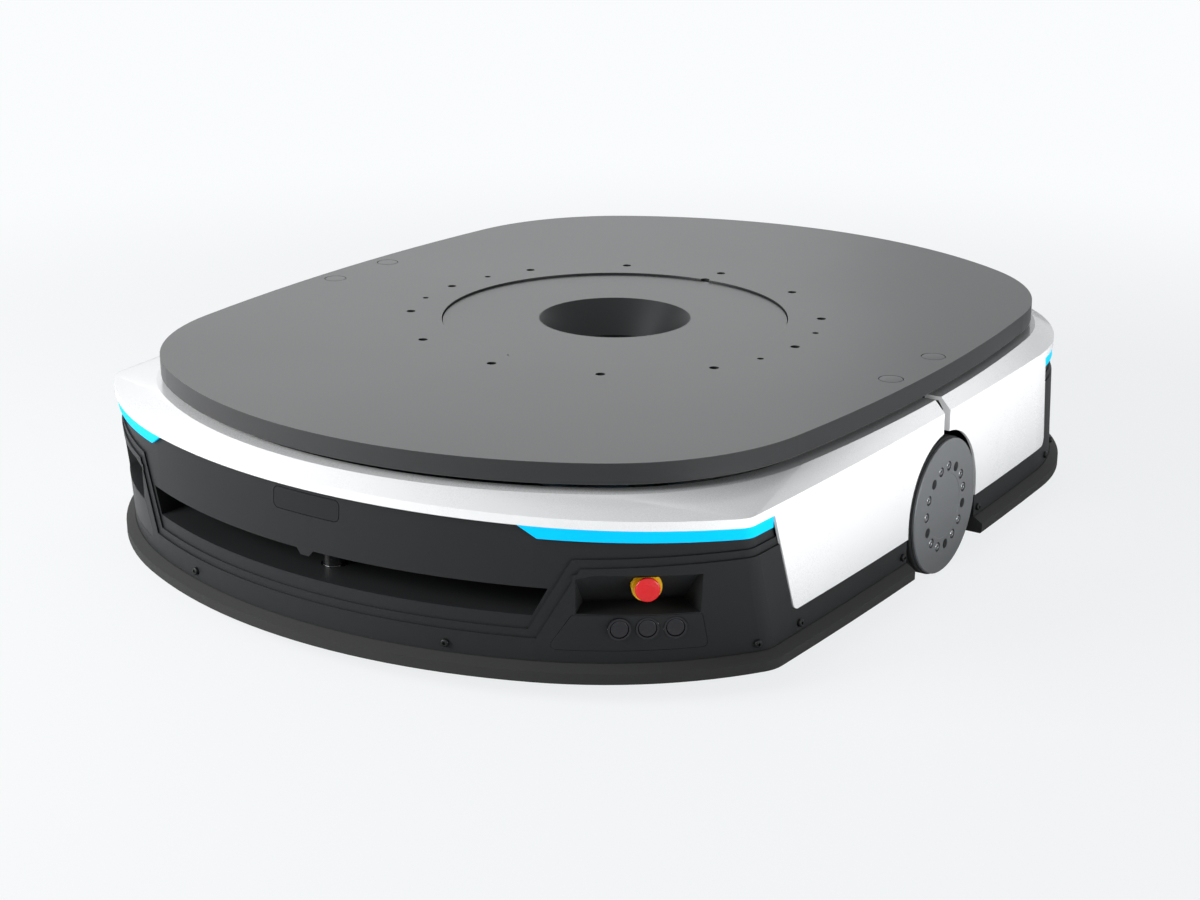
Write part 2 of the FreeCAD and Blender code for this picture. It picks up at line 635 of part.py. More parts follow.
def in_panel(shape, placement):
    """A shape moved from the panel's own frame into the robot's."""
    moved = shape.copy()
    moved.Placement = placement.multiply(moved.Placement)
    return moved


def pocket_depth(height):
    """Depth of the stop button's pocket behind the panel's line at a height."""
    return (size("pocket_high_z") - height) * math.tan(math.radians(size("pocket_tilt")))


def pocket_space(side, grow):
    """Wedge of the stop button's pocket: its back wall leans in and its sides close in, grown by a wall."""
    low, high = size("panel_high_z") + 1.5 - grow, size("pocket_high_z") + grow
    reach, front = pocket_depth(low) + 2 * grow, 25.0
    lean = math.tan(math.radians(size("pocket_tilt")))
    wedge = Part.Face(Part.makePolygon([
        Vec(-WIDE, grow / 2 - grow * lean, high), Vec(-WIDE, -pocket_depth(low) - grow * lean, low),
        Vec(-WIDE, front, low), Vec(-WIDE, front, high), Vec(-WIDE, grow / 2 - grow * lean, high)]))
    close = math.tan(math.radians(size("pocket_taper")))
    left, right = size("pocket_left") + grow, size("pocket_right") + grow
    plan = [Vec(side * x, y, 0) for x, y in (
        (-right - front * close, front), (left + front * close, front),
        (left - reach * close, -reach), (-right + reach * close, -reach))]
    sides = Part.Face(Part.makePolygon(plan + plan[:1])).extrude(Vec(0, 0, WIDE))
    return in_panel(wedge.extrude(Vec(2 * WIDE, 0, 0)).common(sides), panel_frame(side))


def pocket_lining(side):
    """Moulding behind the pocket, clipped to the fascia's outer face."""
    return pocket_space(side, size("fascia_wall")).common(housing(size("light_recess")))


def panel_space(side, grow, depth):
    """Space of a control panel: the fascia's outer skin to a depth, between the panel's edges."""
    low, high = size("panel_low_z") - grow, size("panel_high_z") + grow
    points = [(side * (size("panel_left_low") + grow), low), (-side * (size("panel_right_low") + grow), low),
              (-side * (size("panel_right_high") + grow), high), (side * (size("panel_left_high") + grow), high)]
    plate = prism_along_y(points, -60, 60)
    upright = [edge for edge in plate.Edges
               if abs(edge.Vertexes[0].Point.y - edge.Vertexes[-1].Point.y) > 100]
    rounded = plate.makeFillet(size("panel_corner_radius") + grow, upright)
    recess = size("light_recess")
    skin = housing(recess - 0.001 if grow > 0 else recess).cut(housing(recess + depth))
    return skin.common(in_panel(rounded, panel_frame(side)))


def panel_face(height):
    """How far the fascia's outer face lies in front of the right panel's frame, at a height."""
    line = Part.makeLine(Vec(0, -80, height), Vec(0, 80, height))
    inside = housing(size("light_recess")).common(in_panel(line, panel_frame(1)))
    outer = max(inside.Vertexes, key=lambda vertex: -vertex.Point.y).Point
    return panel_frame(1).inverse().multVec(outer).y


def button_rod(index, radius, start, end):
    """Cylinder on a push button's axis, measured outwards from the fascia's face."""
    origin = Vec(index * size("button_pitch"), panel_face(size("button_z")) + start, size("button_z"))
    return in_panel(Part.makeCylinder(radius, end - start, origin, Y_AXIS), panel_frame(1))


def stop_rod(radius, start, end):
    """Cylinder on the stop button's axis, measured outwards from the mouth of its pocket."""
    foot = Vec(0, start, size("estop_z"))
    return in_panel(Part.makeCylinder(radius, end - start, foot, Y_AXIS), panel_frame(1))


def window_space(grow):
    """Space of the camera window, a rounded rectangle in the recessed zone."""
    half_x, half_z = size("window_half_width") + grow, size("window_half_height") + grow
    plate = Part.makeBox(2 * half_x, 200, 2 * half_z, Vec(-half_x, -780, size("window_z") - half_z))
    upright = [edge for edge in plate.Edges
               if abs(edge.Vertexes[0].Point.y - edge.Vertexes[-1].Point.y) > 100]
    rounded = plate.makeFillet(size("window_corner_radius") + grow, upright)
    face = size("light_recess") + size("fascia_step")
    return housing(face).cut(housing(face + size("window_depth") + min(grow, size("fit_gap")))).common(rounded)


def fascia(label, end):
    """Black moulded end piece: proud lower zone, recessed slot zone, pillars and side bands."""
    wall, step, recess = size("fascia_wall"), size("fascia_step"), size("light_recess")
    outer = housing(recess)
    skin = outer.cut(housing(recess + step + wall))
    bevel = outer.cut(housing(recess + step / 2)).common(
        prism_along_y(ribbon_points(size("ribbon_width") / 2), -900, 900))
    zone = outer.cut(housing(recess + step)).common(
        prism_along_y(ribbon_points(-size("ribbon_width") / 2), -900, 900))
    deep = recess + step + size("slot_depth")
    slot_zone = end_space(end, 300.0)
    lining = housing(recess + step).cut(housing(deep + wall)).common(prism_along_y(slot_points(wall), -900, 900))
    hollow = housing(-5.0).cut(housing(deep)).common(prism_along_y(slot_points(0.0), -900, 900))
    shape = skin.cut(bevel).cut(zone).common(end_space(end, size("bumper_end_y")))
    shape = shape.fuse(lining.common(slot_zone)).cut(hollow.common(slot_zone))
    if end < 0:
        shape = shape.fuse(scanner_tab())
    shape = shape.cut(skirt_space(end, size("seam"))).cut(light_space(end, size("fit_gap")))
    head = Part.makeCylinder(size("lidar_head_radius") + 1.0, 60, Vec(0, end * size("lidar_y"), 70))
    shape = shape.cut(head)
    if end < 0:
        shape = control_cuts(shape)
    else:
        shape = contact_cuts(shape)
    return shaped(label, shape.removeSplitter())


def scanner_tab():
    """Small tab that hangs from the slot's roof in front of the scanner."""
    roof = size("slot_high_z")
    outline = [(-size("tab_high_half"), roof + 1), (-size("tab_low_half"), roof - size("tab_height")),
               (size("tab_low_half"), roof - size("tab_height")), (size("tab_high_half"), roof + 1)]
    face = size("light_recess") + size("fascia_step")
    skin = housing(face).cut(housing(face + size("fascia_wall")))
    return skin.common(prism_along_y(outline, -900, -500))


def control_cuts(shape):
    """Pockets of the control panel, the stop button and the camera window in the front fascia."""
    for side in (1, -1):
        shape = shape.fuse(pocket_lining(side)).cut(pocket_space(side, 0.0))
        shape = shape.cut(panel_space(side, size("seam"), size("panel_thick") + size("fit_gap")))
    for index in (-1, 0, 1):
        shape = shape.cut(button_rod(index, size("bezel_radius") + size("fit_gap"), -40, 20))
    shape = shape.cut(stop_rod(size("estop_neck_radius") + 1.0, -60, 1))
    head_room = stop_rod(size("estop_head_radius") + 2 * size("fit_gap"), -size("estop_collar_face"), 0)
    return shape.cut(head_room).cut(window_space(size("window_seam")))


def contact_cuts(shape):
    """Holes for the two charging contacts in the rear fascia."""
    for side in (-1, 1):
        x = side * size("contact_spacing") / 2
        shape = shape.cut(box_between((x - 15.3, 600, size("contact_z") - 8.3),
                                      (x + 15.3, 720, size("contact_z") + 8.3)))
    return shape


def corner_lights(label, end):
    """The two translucent corner lights of one end, under the lip of the covers."""
    recess = size("light_recess")
    shape = housing(recess).cut(housing(recess + size("light_depth"))).common(light_space(end, 0.0))
    return shaped(label, shape)


def bumper(label, end):
    """Safety edge of one end, wrapping round to the wheel: upright face with a slope above it."""
    out, low, top = size("bumper_stand_out"), size("bumper_low_z"), size("bumper_top_z")
    widest = foot_line(out)
    levels = [(low, *(line.inset(2.0) for line in widest)), (size("bumper_face_low_z"), *widest),
              (size("bumper_face_high_z"), *widest), (top - size("fit_gap"), *foot_line())]
    inner = [(low - 1, *(line.inset(size("bumper_wall")) for line in widest)),
             (top + 1, *(line.inset(size("bumper_wall")) for line in widest))]
    return shaped(label, stacked(levels).cut(stacked(inner)).common(end_space(end, size("bumper_end_y"))))


def fascia_screws(label, end):
    """Button-head screws along the foot of one fascia."""
    foot = housing(size("light_recess"))
    solids = []
    radius, height, reach = size("fascia_screw_radius"), size("fascia_screw_z"), size("fascia_screw_height")
    corner_angle = 52.0
    for angle in (-corner_angle, -18.5, 18.5, corner_angle):
        direction = Vec(math.sin(math.radians(angle)), end * math.cos(math.radians(angle)), 0)
        solids.append(surface_screw(foot, Vec(0, end * 60.0, height), direction, radius, reach))
    for side in (-1, 1):
        for distance in (size("side_screw_near_y"), size("side_screw_far_y")):
            start = Vec(0, end * distance, height)
            solids.append(surface_screw(foot, start, Vec(side, 0, 0), radius, reach))
    return shaped(label, Part.makeCompound(solids))


def surface_screw(solid, start, direction, radius, reach):
    """Domed screw head on a solid's outer face, where a ray from start leaves it."""
    line = Part.makeLine(start, start + direction * WIDE)
    exit_point = max(solid.common(line).Vertexes, key=lambda v: (v.Point - start).Length).Point
    face = min(solid.Faces, key=lambda item: item.distToShape(Part.Vertex(exit_point))[0])
    normal = face.normalAt(*face.Surface.parameter(exit_point))
    direction = normal if normal.dot(direction) > 0 else normal * -1
    foot = exit_point + direction * (size("fit_gap") / 2)
    head = Part.makeCylinder(radius, reach, foot, direction)
    rim = [edge for edge in head.Edges if edge.Closed and (edge.CenterOfMass - foot).Length > reach / 2]
    head = head.makeFillet(reach * 0.55, rim)
    socket = Part.makeCylinder(radius * 0.42, reach, foot + direction * reach * 0.4, direction)
    return head.cut(socket)


def build_covers():
    """White covers, fascias, lights, bumpers and their screws, for both ends."""
    for name, end in (("front", -1), ("rear", 1)):
        cover(name + "_shell", end)
        fascia(name + "_fascia", end)
        corner_lights(name + "_light_strips", end)
        bumper(name + "_bumper", end)
        fascia_screws(name + "_fascia_screws", end)


def build_controls():
    """Control panels, push buttons, stop button, their switches and the camera window."""
    panel = panel_space(1, 0.0, size("panel_thick"))
    for index in (-1, 0, 1):
        panel = panel.cut(button_rod(index, size("bezel_radius") + size("fit_gap"), -40, 20))
    shaped("control_panel", panel)
    shaped("blank_panel", panel_space(-1, 0.0, size("panel_thick")))
    shaped("camera_window", window_space(0.0).common(end_space(-1, 300.0)))
    proud, rear_end = 1.0, -9.0
    bezels, switches = [], []
    for index, name in ((1, "left_button"), (0, "middle_button"), (-1, "right_button")):
        bezels.append(button_rod(index, size("bezel_radius"), rear_end, proud)
                      .cut(button_rod(index, size("button_radius") + 0.2, rear_end - 1, proud + 1)))
        switches.append(button_rod(index, size("bezel_radius"), rear_end - size("switch_length"), rear_end))
        cap = button_rod(index, size("button_radius"), rear_end + size("button_travel") + 0.3, proud - 0.4)
        dish = button_rod(index, size("button_radius") - 2.0, proud - 1.0, proud)
        shaped(name, cap.cut(dish))
    shaped("button_bezels", Part.makeCompound(bezels))
    build_stop_button(switches)


def build_stop_button(switches):
    """Stop button: collar on the pocket's leaning wall, head with its neck, and the switch behind it."""
    neck, gap, face = size("estop_neck_radius"), size("fit_gap"), -size("estop_collar_face")
    depth = -pocket_depth(size("estop_z"))
    seated = pocket_space(1, 0.0)
    seated.translate(panel_frame(1).Rotation.multVec(Vec(0, gap, 0)))
    collar = stop_rod(size("estop_collar_radius"), 3 * depth, face).common(seated)
    shaped("estop_collar", collar.cut(stop_rod(neck + gap, 4 * depth, 1)))
    head_start = face + size("estop_travel") + gap
    head_end = head_start + size("estop_head_thick")
    head = stop_rod(size("estop_head_radius"), head_start, head_end)
    foot = stop_rod(1.0, head_start, head_start + 0.1).CenterOfMass
    circles_of_head = [edge for edge in head.Edges if edge.Closed]
    rim = max(circles_of_head, key=lambda edge: (edge.CenterOfMass - foot).Length)
    head = head.makeFillet(size("estop_head_thick") * 0.45, [rim])
    neck_end = depth - size("fascia_wall") - 14.0
    shaped("estop_head", head.fuse(stop_rod(neck, neck_end, head_start)))
    barrel = stop_rod(size("estop_barrel_radius"), neck_end - size("switch_length"), 0)
    barrel = barrel.cut(pocket_space(1, size("fascia_wall")))
    barrel = barrel.cut(stop_rod(neck + gap, neck_end - size("estop_travel") - gap, 1))
    shaped("switch_blocks", Part.makeCompound(switches + [barrel]))


# ---------------------------------------------------------------- deck and slewing ring

def arc_sketch(body, wire_arcs, name):
    """Sketch of joined arcs on the body's XY plane."""
    sketch = body.newObject("Sketcher::SketchObject", name)
    sketch.AttachmentSupport = [(plane_of(body, "XY_Plane"), "")]
    sketch.MapMode = "FlatFace"
    for arc in wire_arcs:
        sketch.addGeometry(Part.Arc(*[Vec(*point) for point in arc]))
    for index in range(len(wire_arcs)):
        sketch.addConstraint(Sketcher.Constraint("Block", index))
    return sketch


def outline_arcs(front, rear):
    """All arcs of a closed outline in order."""
    arcs = mirrored(front.arcs(), 1, -1) + backwards(mirrored(rear.arcs(), 1, 1))
    return arcs + mirrored(rear.arcs(), -1, 1) + backwards(mirrored(front.arcs(), -1, -1))


def pad(body, sketch, length):
    """Pad a sketch upwards."""
    feature = body.newObject("PartDesign::Pad", "Pad")
    feature.Profile = sketch
    bind(feature, Length=length)
    return feature


def polar(body, feature, count):
    """Repeat a feature around the body's Z axis."""
    pattern = body.newObject("PartDesign::PolarPattern", "PolarPattern")
    pattern.Originals = [feature]
    pattern.Axis = (plane_of(body, "Z_Axis"), [""])
    pattern.Angle = 360
    pattern.Occurrences = count
    body.Tip = pattern
    return pattern


def build_deck():
    """Deck plate with its hole circle and plugs."""
    body = new_body("deck_plate")
    end = deck_line()
    pad(body, arc_sketch(body, outline_arcs(end, end), "Outline"), "deck_thick")
    pocket(body, circles(body, "XY_Plane", [("0", "0", "disc_radius + disc_gap")]), "deck_thick", True)
    narrow = circles(body, "XY_Plane", [("bolt_circle_radius", "0", "ring_bolt_radius + ring_bolt_clearance")])
    polar(body, pocket(body, narrow, "deck_thick", True), 12)
    wide = circles(body, "XY_Plane", [("bolt_circle_radius", "0", "bolt_hole_radius")])
    bind(wide, AttachmentOffset_Base_z="bolt_grip")
    polar(body, pocket(body, wide, "deck_thick - bolt_grip", True), 12)
    for turn in ("dowel_angle", "180 - dowel_angle", "-dowel_angle", "180 + dowel_angle"):
        spot = ("bolt_circle_radius * cos((%s) * 1 deg)" % turn, "bolt_circle_radius * sin((%s) * 1 deg)" % turn,
                "dowel_hole_radius")
        pocket(body, circles(body, "XY_Plane", [spot]), "deck_thick", True)
    signs = [(1, 1), (1, -1), (-1, 1), (-1, -1)]
    seats = circles(body, "XY_Plane", [("plug_x * %d" % i, "plug_y * %d" % j, "plug_radius") for i, j in signs])
    bind(seats, AttachmentOffset_Base_z="deck_thick - plug_depth")
    pocket(body, seats, "plug_depth", True)
    for i, j in signs:
        notch = ("0", "%d * (disc_radius + disc_gap)" % i, "7")
        if j > 0:
            pocket(body, circles(body, "XY_Plane", [notch]), "deck_thick", True)
    place(body, "0", "0", "deck_top - deck_thick")
    plugs = [rod("Plug", "plug_radius - 0.25", "plug_depth - fit_gap", "plug_x * %d" % i, "plug_y * %d" % j,
                 "deck_top - plug_depth + fit_gap") for i, j in signs]
    keep(grouped("deck_plugs", plugs), "deck_plugs")
    bolts = []
    for index in range(12):
        angle = "%d deg" % (30 * index)
        x, y = "bolt_circle_radius * cos(%s)" % angle, "bolt_circle_radius * sin(%s)" % angle
        low = "deck_top - deck_thick - race_height"
        head = rod("Head", "bolt_head_radius", "bolt_head_height - fit_gap", x, y, low)
        shank = rod("Shank", "ring_bolt_radius", "race_height + bolt_grip - fit_gap", x, y, low)
        bolts.append(fused("Bolt", [head, shank]))
    keep(grouped("ring_bolts", bolts), "ring_bolts")


def gear_wire(teeth, module, outer, height):
    """Closed polygon of a spur gear: straight-flanked teeth about the pitch circle."""
    pitch = teeth * module / 2.0
    tip, root = pitch + module, pitch - 1.25 * module
    step = 2 * math.pi / teeth
    backlash = 0.04
    points = []
    for tooth in range(teeth):
        middle = tooth * step + (0 if outer else step / 2)
        for radius, share in ((root, -0.36), (tip, -0.13), (tip, 0.13), (root, 0.36)):
            angle = middle + share * step * (1 - backlash)
            points.append(Vec(radius * math.cos(angle), radius * math.sin(angle), height))
    return Part.makePolygon(points + points[:1])


def build_slewing():
    """Slewing ring, its pinion and motor, the fixed centre disc and the camera funnel."""
    ring_low = size("deck_top") - size("deck_thick") - size("race_height")
    module = size("gear_module")
    ring_teeth, pinion_teeth = int(size("gear_teeth")), int(size("pinion_teeth"))
    outer = Part.Face(gear_wire(ring_teeth, module, True, ring_low)).extrude(Vec(0, 0, size("race_height")))
    direction = size("slew_angle")
    outer.rotate(Vec(0, 0, 0), Z_AXIS, direction)
    below = Vec(0, 0, ring_low - 10)
    outer = outer.cut(Part.makeCylinder(size("race_split_radius") + size("fit_gap"), 100, below))
    for index in range(12):
        angle = math.radians(30 * index)
        spot = Vec(math.cos(angle), math.sin(angle), 0) * size("bolt_circle_radius") + below
        hole = Part.makeCylinder(size("ring_bolt_radius") + size("ring_bolt_clearance"), 100, spot)
        seat = Part.makeCylinder(size("bolt_head_radius") + size("fit_gap"), 10 + size("bolt_head_height"), spot)
        outer = outer.cut(hole.fuse(seat))
    shaped("outer_race", outer)
    distance = module * (ring_teeth + pinion_teeth) / 2.0
    centre = Vec(math.cos(math.radians(direction)), math.sin(math.radians(direction)), 0) * distance
    pinion = Part.Face(gear_wire(pinion_teeth, module, False, ring_low + 2)).extrude(
        Vec(0, 0, size("race_height") - 4))
    pinion = pinion.fuse(Part.makeCylinder(12, 12, Vec(0, 0, ring_low - 10)))
    pinion.rotate(Vec(0, 0, 0), Z_AXIS, direction + 180)
    pinion.translate(centre)
    shaped("slewing_pinion", pinion)
    gap_race = [("race_bore_radius", "0"), ("race_split_radius", "0"), ("race_split_radius", "race_height"),
                ("race_bore_radius", "race_height")]
    turned("inner_race", gap_race, z=CARRIAGE_TOP)
    disc_low = "deck_top - disc_recess - disc_thick"
    seat = "%s + race_height - (%s)" % (CARRIAGE_TOP, disc_low)
    disc = [("funnel_top_radius + 1.3", "0"), ("race_bore_radius + 15", "0"), ("race_bore_radius + 15", seat),
            ("race_bore_radius + 27", seat), ("race_bore_radius + 27", "0"), ("disc_radius", "0"),
            ("disc_radius", "disc_thick"), ("funnel_top_radius + 1.3", "disc_thick")]
    turned("centre_disc", disc, z=disc_low)
    height = "(deck_top - disc_recess - (%s))" % CARRIAGE_TOP
    funnel = [("funnel_low_radius", "0"), ("funnel_low_radius + funnel_wall", "0"),
              ("funnel_low_radius + funnel_wall", "funnel_foot"),
              ("funnel_top_radius + 1", height + " - 3"), ("funnel_top_radius + 1", height),
              ("funnel_top_radius", height), ("funnel_low_radius", "funnel_foot")]
    turned("camera_funnel", funnel, z=CARRIAGE_TOP)
    camera = [("0", "0"), ("34", "0"), ("34", "5"), ("20", "5"), ("20", "16"), ("12", "16"), ("11", "13"),
              ("0", "13")]
    turned("upward_camera", camera, z=CARRIAGE_TOP)


CARRIAGE_TOP = "deck_top - deck_thick - race_height - ring_drop"
CARRIAGE_LOW = "deck_top - deck_thick - race_height - ring_drop - carriage_thick"
SLEW_DISTANCE = "gear_module * (gear_teeth + pinion_teeth) / 2"


def build_lift():
    """Lifting carriage, jack rods and tubes, lift base and slewing motor."""
    across = "(%s) * cos(slew_angle * 1 deg)" % SLEW_DISTANCE
    along = "(%s) * sin(slew_angle * 1 deg)" % SLEW_DISTANCE
    plate = rod("Plate", "carriage_radius", "carriage_thick", "0", "0", CARRIAGE_LOW)
    ear = rod("Ear", "slew_motor_radius + 8", "carriage_thick", across, along, CARRIAGE_LOW)
    arm = doc.addObject("Part::Box", "Arm")
    bind(arm, Length=SLEW_DISTANCE, Width="2 * slew_motor_radius", Height="carriage_thick")
    turn = size("slew_angle")
    place(arm, "slew_motor_radius * sin(slew_angle * 1 deg)", "-slew_motor_radius * cos(slew_angle * 1 deg)",
          CARRIAGE_LOW, Z_AXIS, turn)
    hole = rod("Hole", "pinion_hub_radius + 0.8", "carriage_thick * 3", across, along, CARRIAGE_LOW + " - 5")
    windows = [rod("Window", "32", "carriage_thick * 3", "%d * 115" % i, "%d * 115" % j, CARRIAGE_LOW + " - 5")
               for i, j in ((1, 0), (-1, 0), (0, 1), (0, -1))]
    carriage = cut("Carriage", fused("Plates", [plate, ear, arm]), fused("Holes", [hole] + windows))
    keep(carriage, "carriage_plate")
    motor_low = CARRIAGE_LOW + " - slew_motor_length - fit_gap"
    body = rod("MotorBody", "slew_motor_radius", "slew_motor_length", across, along, motor_low)
    shaft = rod("MotorShaft", "8", "slew_motor_length + 4", across, along, motor_low)
    keep(fused("SlewMotor", [body, shaft]), "slewing_motor")
    rods, tubes = [], []
    base_top = "floor_z + floor_thick + fit_gap + lift_base_thick"
    keep(block("lift_base", "0", "0", "floor_z + floor_thick + fit_gap", "lift_base_length",
               "lift_base_length", "lift_base_thick"), "lift_base")
    rod_low = base_top + " + 10"
    rod_length = "(%s) - (%s)" % (CARRIAGE_LOW, rod_low)
    tube_length = "(%s) - (%s) - 10" % (CARRIAGE_LOW, base_top)
    for i, j in ((1, 1), (1, -1), (-1, 1), (-1, -1)):
        x, y = "jack_offset * %d" % i, "jack_offset * %d" % j
        shank = rod("Rod", "jack_rod_radius", rod_length, x, y, rod_low)
        head = rod("RodHead", "jack_rod_radius + 8", "6", x, y, CARRIAGE_LOW + " - 6")
        rods.append(fused("JackRod", [shank, head]))
        outer = rod("Tube", "jack_tube_radius", tube_length, x, y, base_top)
        collar = rod("Collar", "jack_tube_radius + 10", "8", x, y, base_top)
        bore = rod("Bore", "jack_rod_radius + bearing_gap", "300", x, y, base_top + " + 6")
        tubes.append(cut("JackTube", fused("TubeBody", [outer, collar]), bore))
    keep(grouped("jack_rods", rods), "jack_rods")
    keep(grouped("jack_tubes", tubes), "jack_tubes")


# ---------------------------------------------------------------- frames

def floor_body(name):
    """Floor plate of one end, within the bumper, as an unlabelled body."""
    body = doc.addObject("PartDesign::Body", name)
    lines = foot_line(size("bumper_stand_out"))
    inset = size("bumper_wall") + size("seam")
    pad(body, arc_sketch(body, outline_arcs(lines[0].inset(inset), lines[1].inset(inset)), "Outline"),
        "floor_thick")
    place(body, "0", "0", "floor_z")
    return body


def build_frames():
    """Front and rear welded frames: floor plate, rails, cross wall and caster bridges."""
    for name, end in (("front", -1), ("rear", 1)):
        rail_x = name + "_rail_x"
        plate = floor_body(name + "Floor")
        pieces = []
        tools = []
        if end < 0:
            tools.append(block("Beyond", "0", "front_floor_end + 500", "0", "2000", "1000", "100"))
            tools.append(block("RightWell", "well_x + 500", "1000 - well_y", "0", "1000", "2000", "100"))
            tools.append(block("LeftWell", "-well_x - 500", "1000 - well_y", "0", "1000", "2000", "100"))
            middle = block("Middle", "0", "0", "floor_z", "2 * well_x", "2 * front_floor_end", "floor_thick")
        else:
            tools.append(block("Beyond", "0", "rear_floor_start - 500", "0", "2000", "1000", "100"))
        base = cut(name + "Plate", plate, fused(name + "Space", tools) if len(tools) > 1 else tools[0])
        pieces.append(base)
        if end < 0:
            pieces.append(middle)
        holes = []
        for side in (-1, 1):
            start = "-rail_end_y" if end < 0 else "0"
            length = "rail_end_y + eye_radius" if end < 0 else "rail_end_y"
            low = "floor_z + floor_thick / 2"
            rail = block("Rail", "%d * (%s + rail_thick / 2)" % (side, rail_x),
                         "(%s) + (%s) / 2" % (start, length), low, "rail_thick", length,
                         "rail_high_z - floor_z - floor_thick / 2")
            pieces.append(rail)
            bridge_top = "caster_plate_z + caster_plate_thick"
            inner = "caster_x - caster_well_radius - 8"
            width = "(%s - (%s) + rail_thick / 2)" % (rail_x, inner)
            centre = "%d * ((%s) + %s / 2)" % (side, inner, width)
            pieces.append(block("CasterBridge", centre, "%d * caster_y" % end, bridge_top, width,
                                "caster_bridge_length", "floor_thick"))
            pieces.append(block("BridgeWall", "%d * ((%s) + 3)" % (side, inner), "%d * caster_y" % end, low,
                                "6", "caster_bridge_length", "(%s) - (%s) + 1" % (bridge_top, low)))
            holes.append(rod("Well", "caster_well_radius", "20", "%d * caster_x" % side,
                             "%d * caster_y" % end, "floor_z - 7"))
            holes.append(rod("KingPinHole", "9", "40", "%d * caster_x" % side, "%d * caster_y" % end,
                             "caster_plate_z"))
            if end < 0:
                holes.append(rod("GearboxHole", "gearbox_radius + fit_gap", "60",
                                 "%d * (front_rail_x + 4) - 30" % side, "0", "wheel_radius", "X"))
            else:
                middle_x = "%d * (rear_rail_x + rail_thick / 2)" % side
                pieces.append(rod("Eye", "eye_radius", "eye_width", middle_x + " - eye_width / 2", "0",
                                  "wheel_radius", "X"))
                holes.append(rod("EyeBore", "gearbox_radius + bearing_gap + bush_thick", "60",
                                 middle_x + " - 30", "0", "wheel_radius", "X"))
        cross_y = "%d * (battery_y - 12)" % end
        pieces.append(block("CrossWall", "0", cross_y, "floor_z + floor_thick / 2", "2 * %s" % rail_x, "6",
                            "90"))
        keep(cut(name + "Frame", fused(name + "Welded", pieces), fused(name + "Holes", holes)),
             name + "_frame")
    bushes, boxes, motors = [], [], []
    for side in (-1, 1):
        middle_x = "%d * (rear_rail_x + rail_thick / 2) - eye_width / 2" % side
        outer = rod("BushOuter", "gearbox_radius + bearing_gap + bush_thick", "eye_width", middle_x, "0",
                    "wheel_radius", "X")
        inner = rod("BushInner", "gearbox_radius + bearing_gap", "eye_width * 3", middle_x + " - eye_width",
                    "0", "wheel_radius", "X")
        bushes.append(cut("Bush", outer, inner))
        length = "wheel_face_x - wheel_face_thick - tyre_width - 7 - gearbox_inner_x"
        start = "gearbox_inner_x" if side > 0 else "-gearbox_inner_x - (%s)" % length
        barrel = rod("GearboxBarrel", "gearbox_radius", length, start, "0", "wheel_radius", "X")
        flange_x = "front_rail_x + rail_thick + fit_gap"
        flange = rod("GearboxFlange", "gearbox_radius + 13", "6",
                     flange_x if side > 0 else "-(%s) - 6" % flange_x, "0", "wheel_radius", "X")
        boxes.append(fused("Gearbox", [barrel, flange]))
        motor_x = "gearbox_inner_x - fit_gap - motor_length" if side > 0 else "-gearbox_inner_x + fit_gap"
        motors.append(rod("Motor", "motor_radius", "motor_length", motor_x, "0", "wheel_radius", "X"))
    keep(grouped("pivot_bushes", bushes), "pivot_bushes")
    keep(grouped("gearboxes", boxes), "gearboxes")
    keep(grouped("drive_motors", motors), "drive_motors")


# ---------------------------------------------------------------- wheels and casters

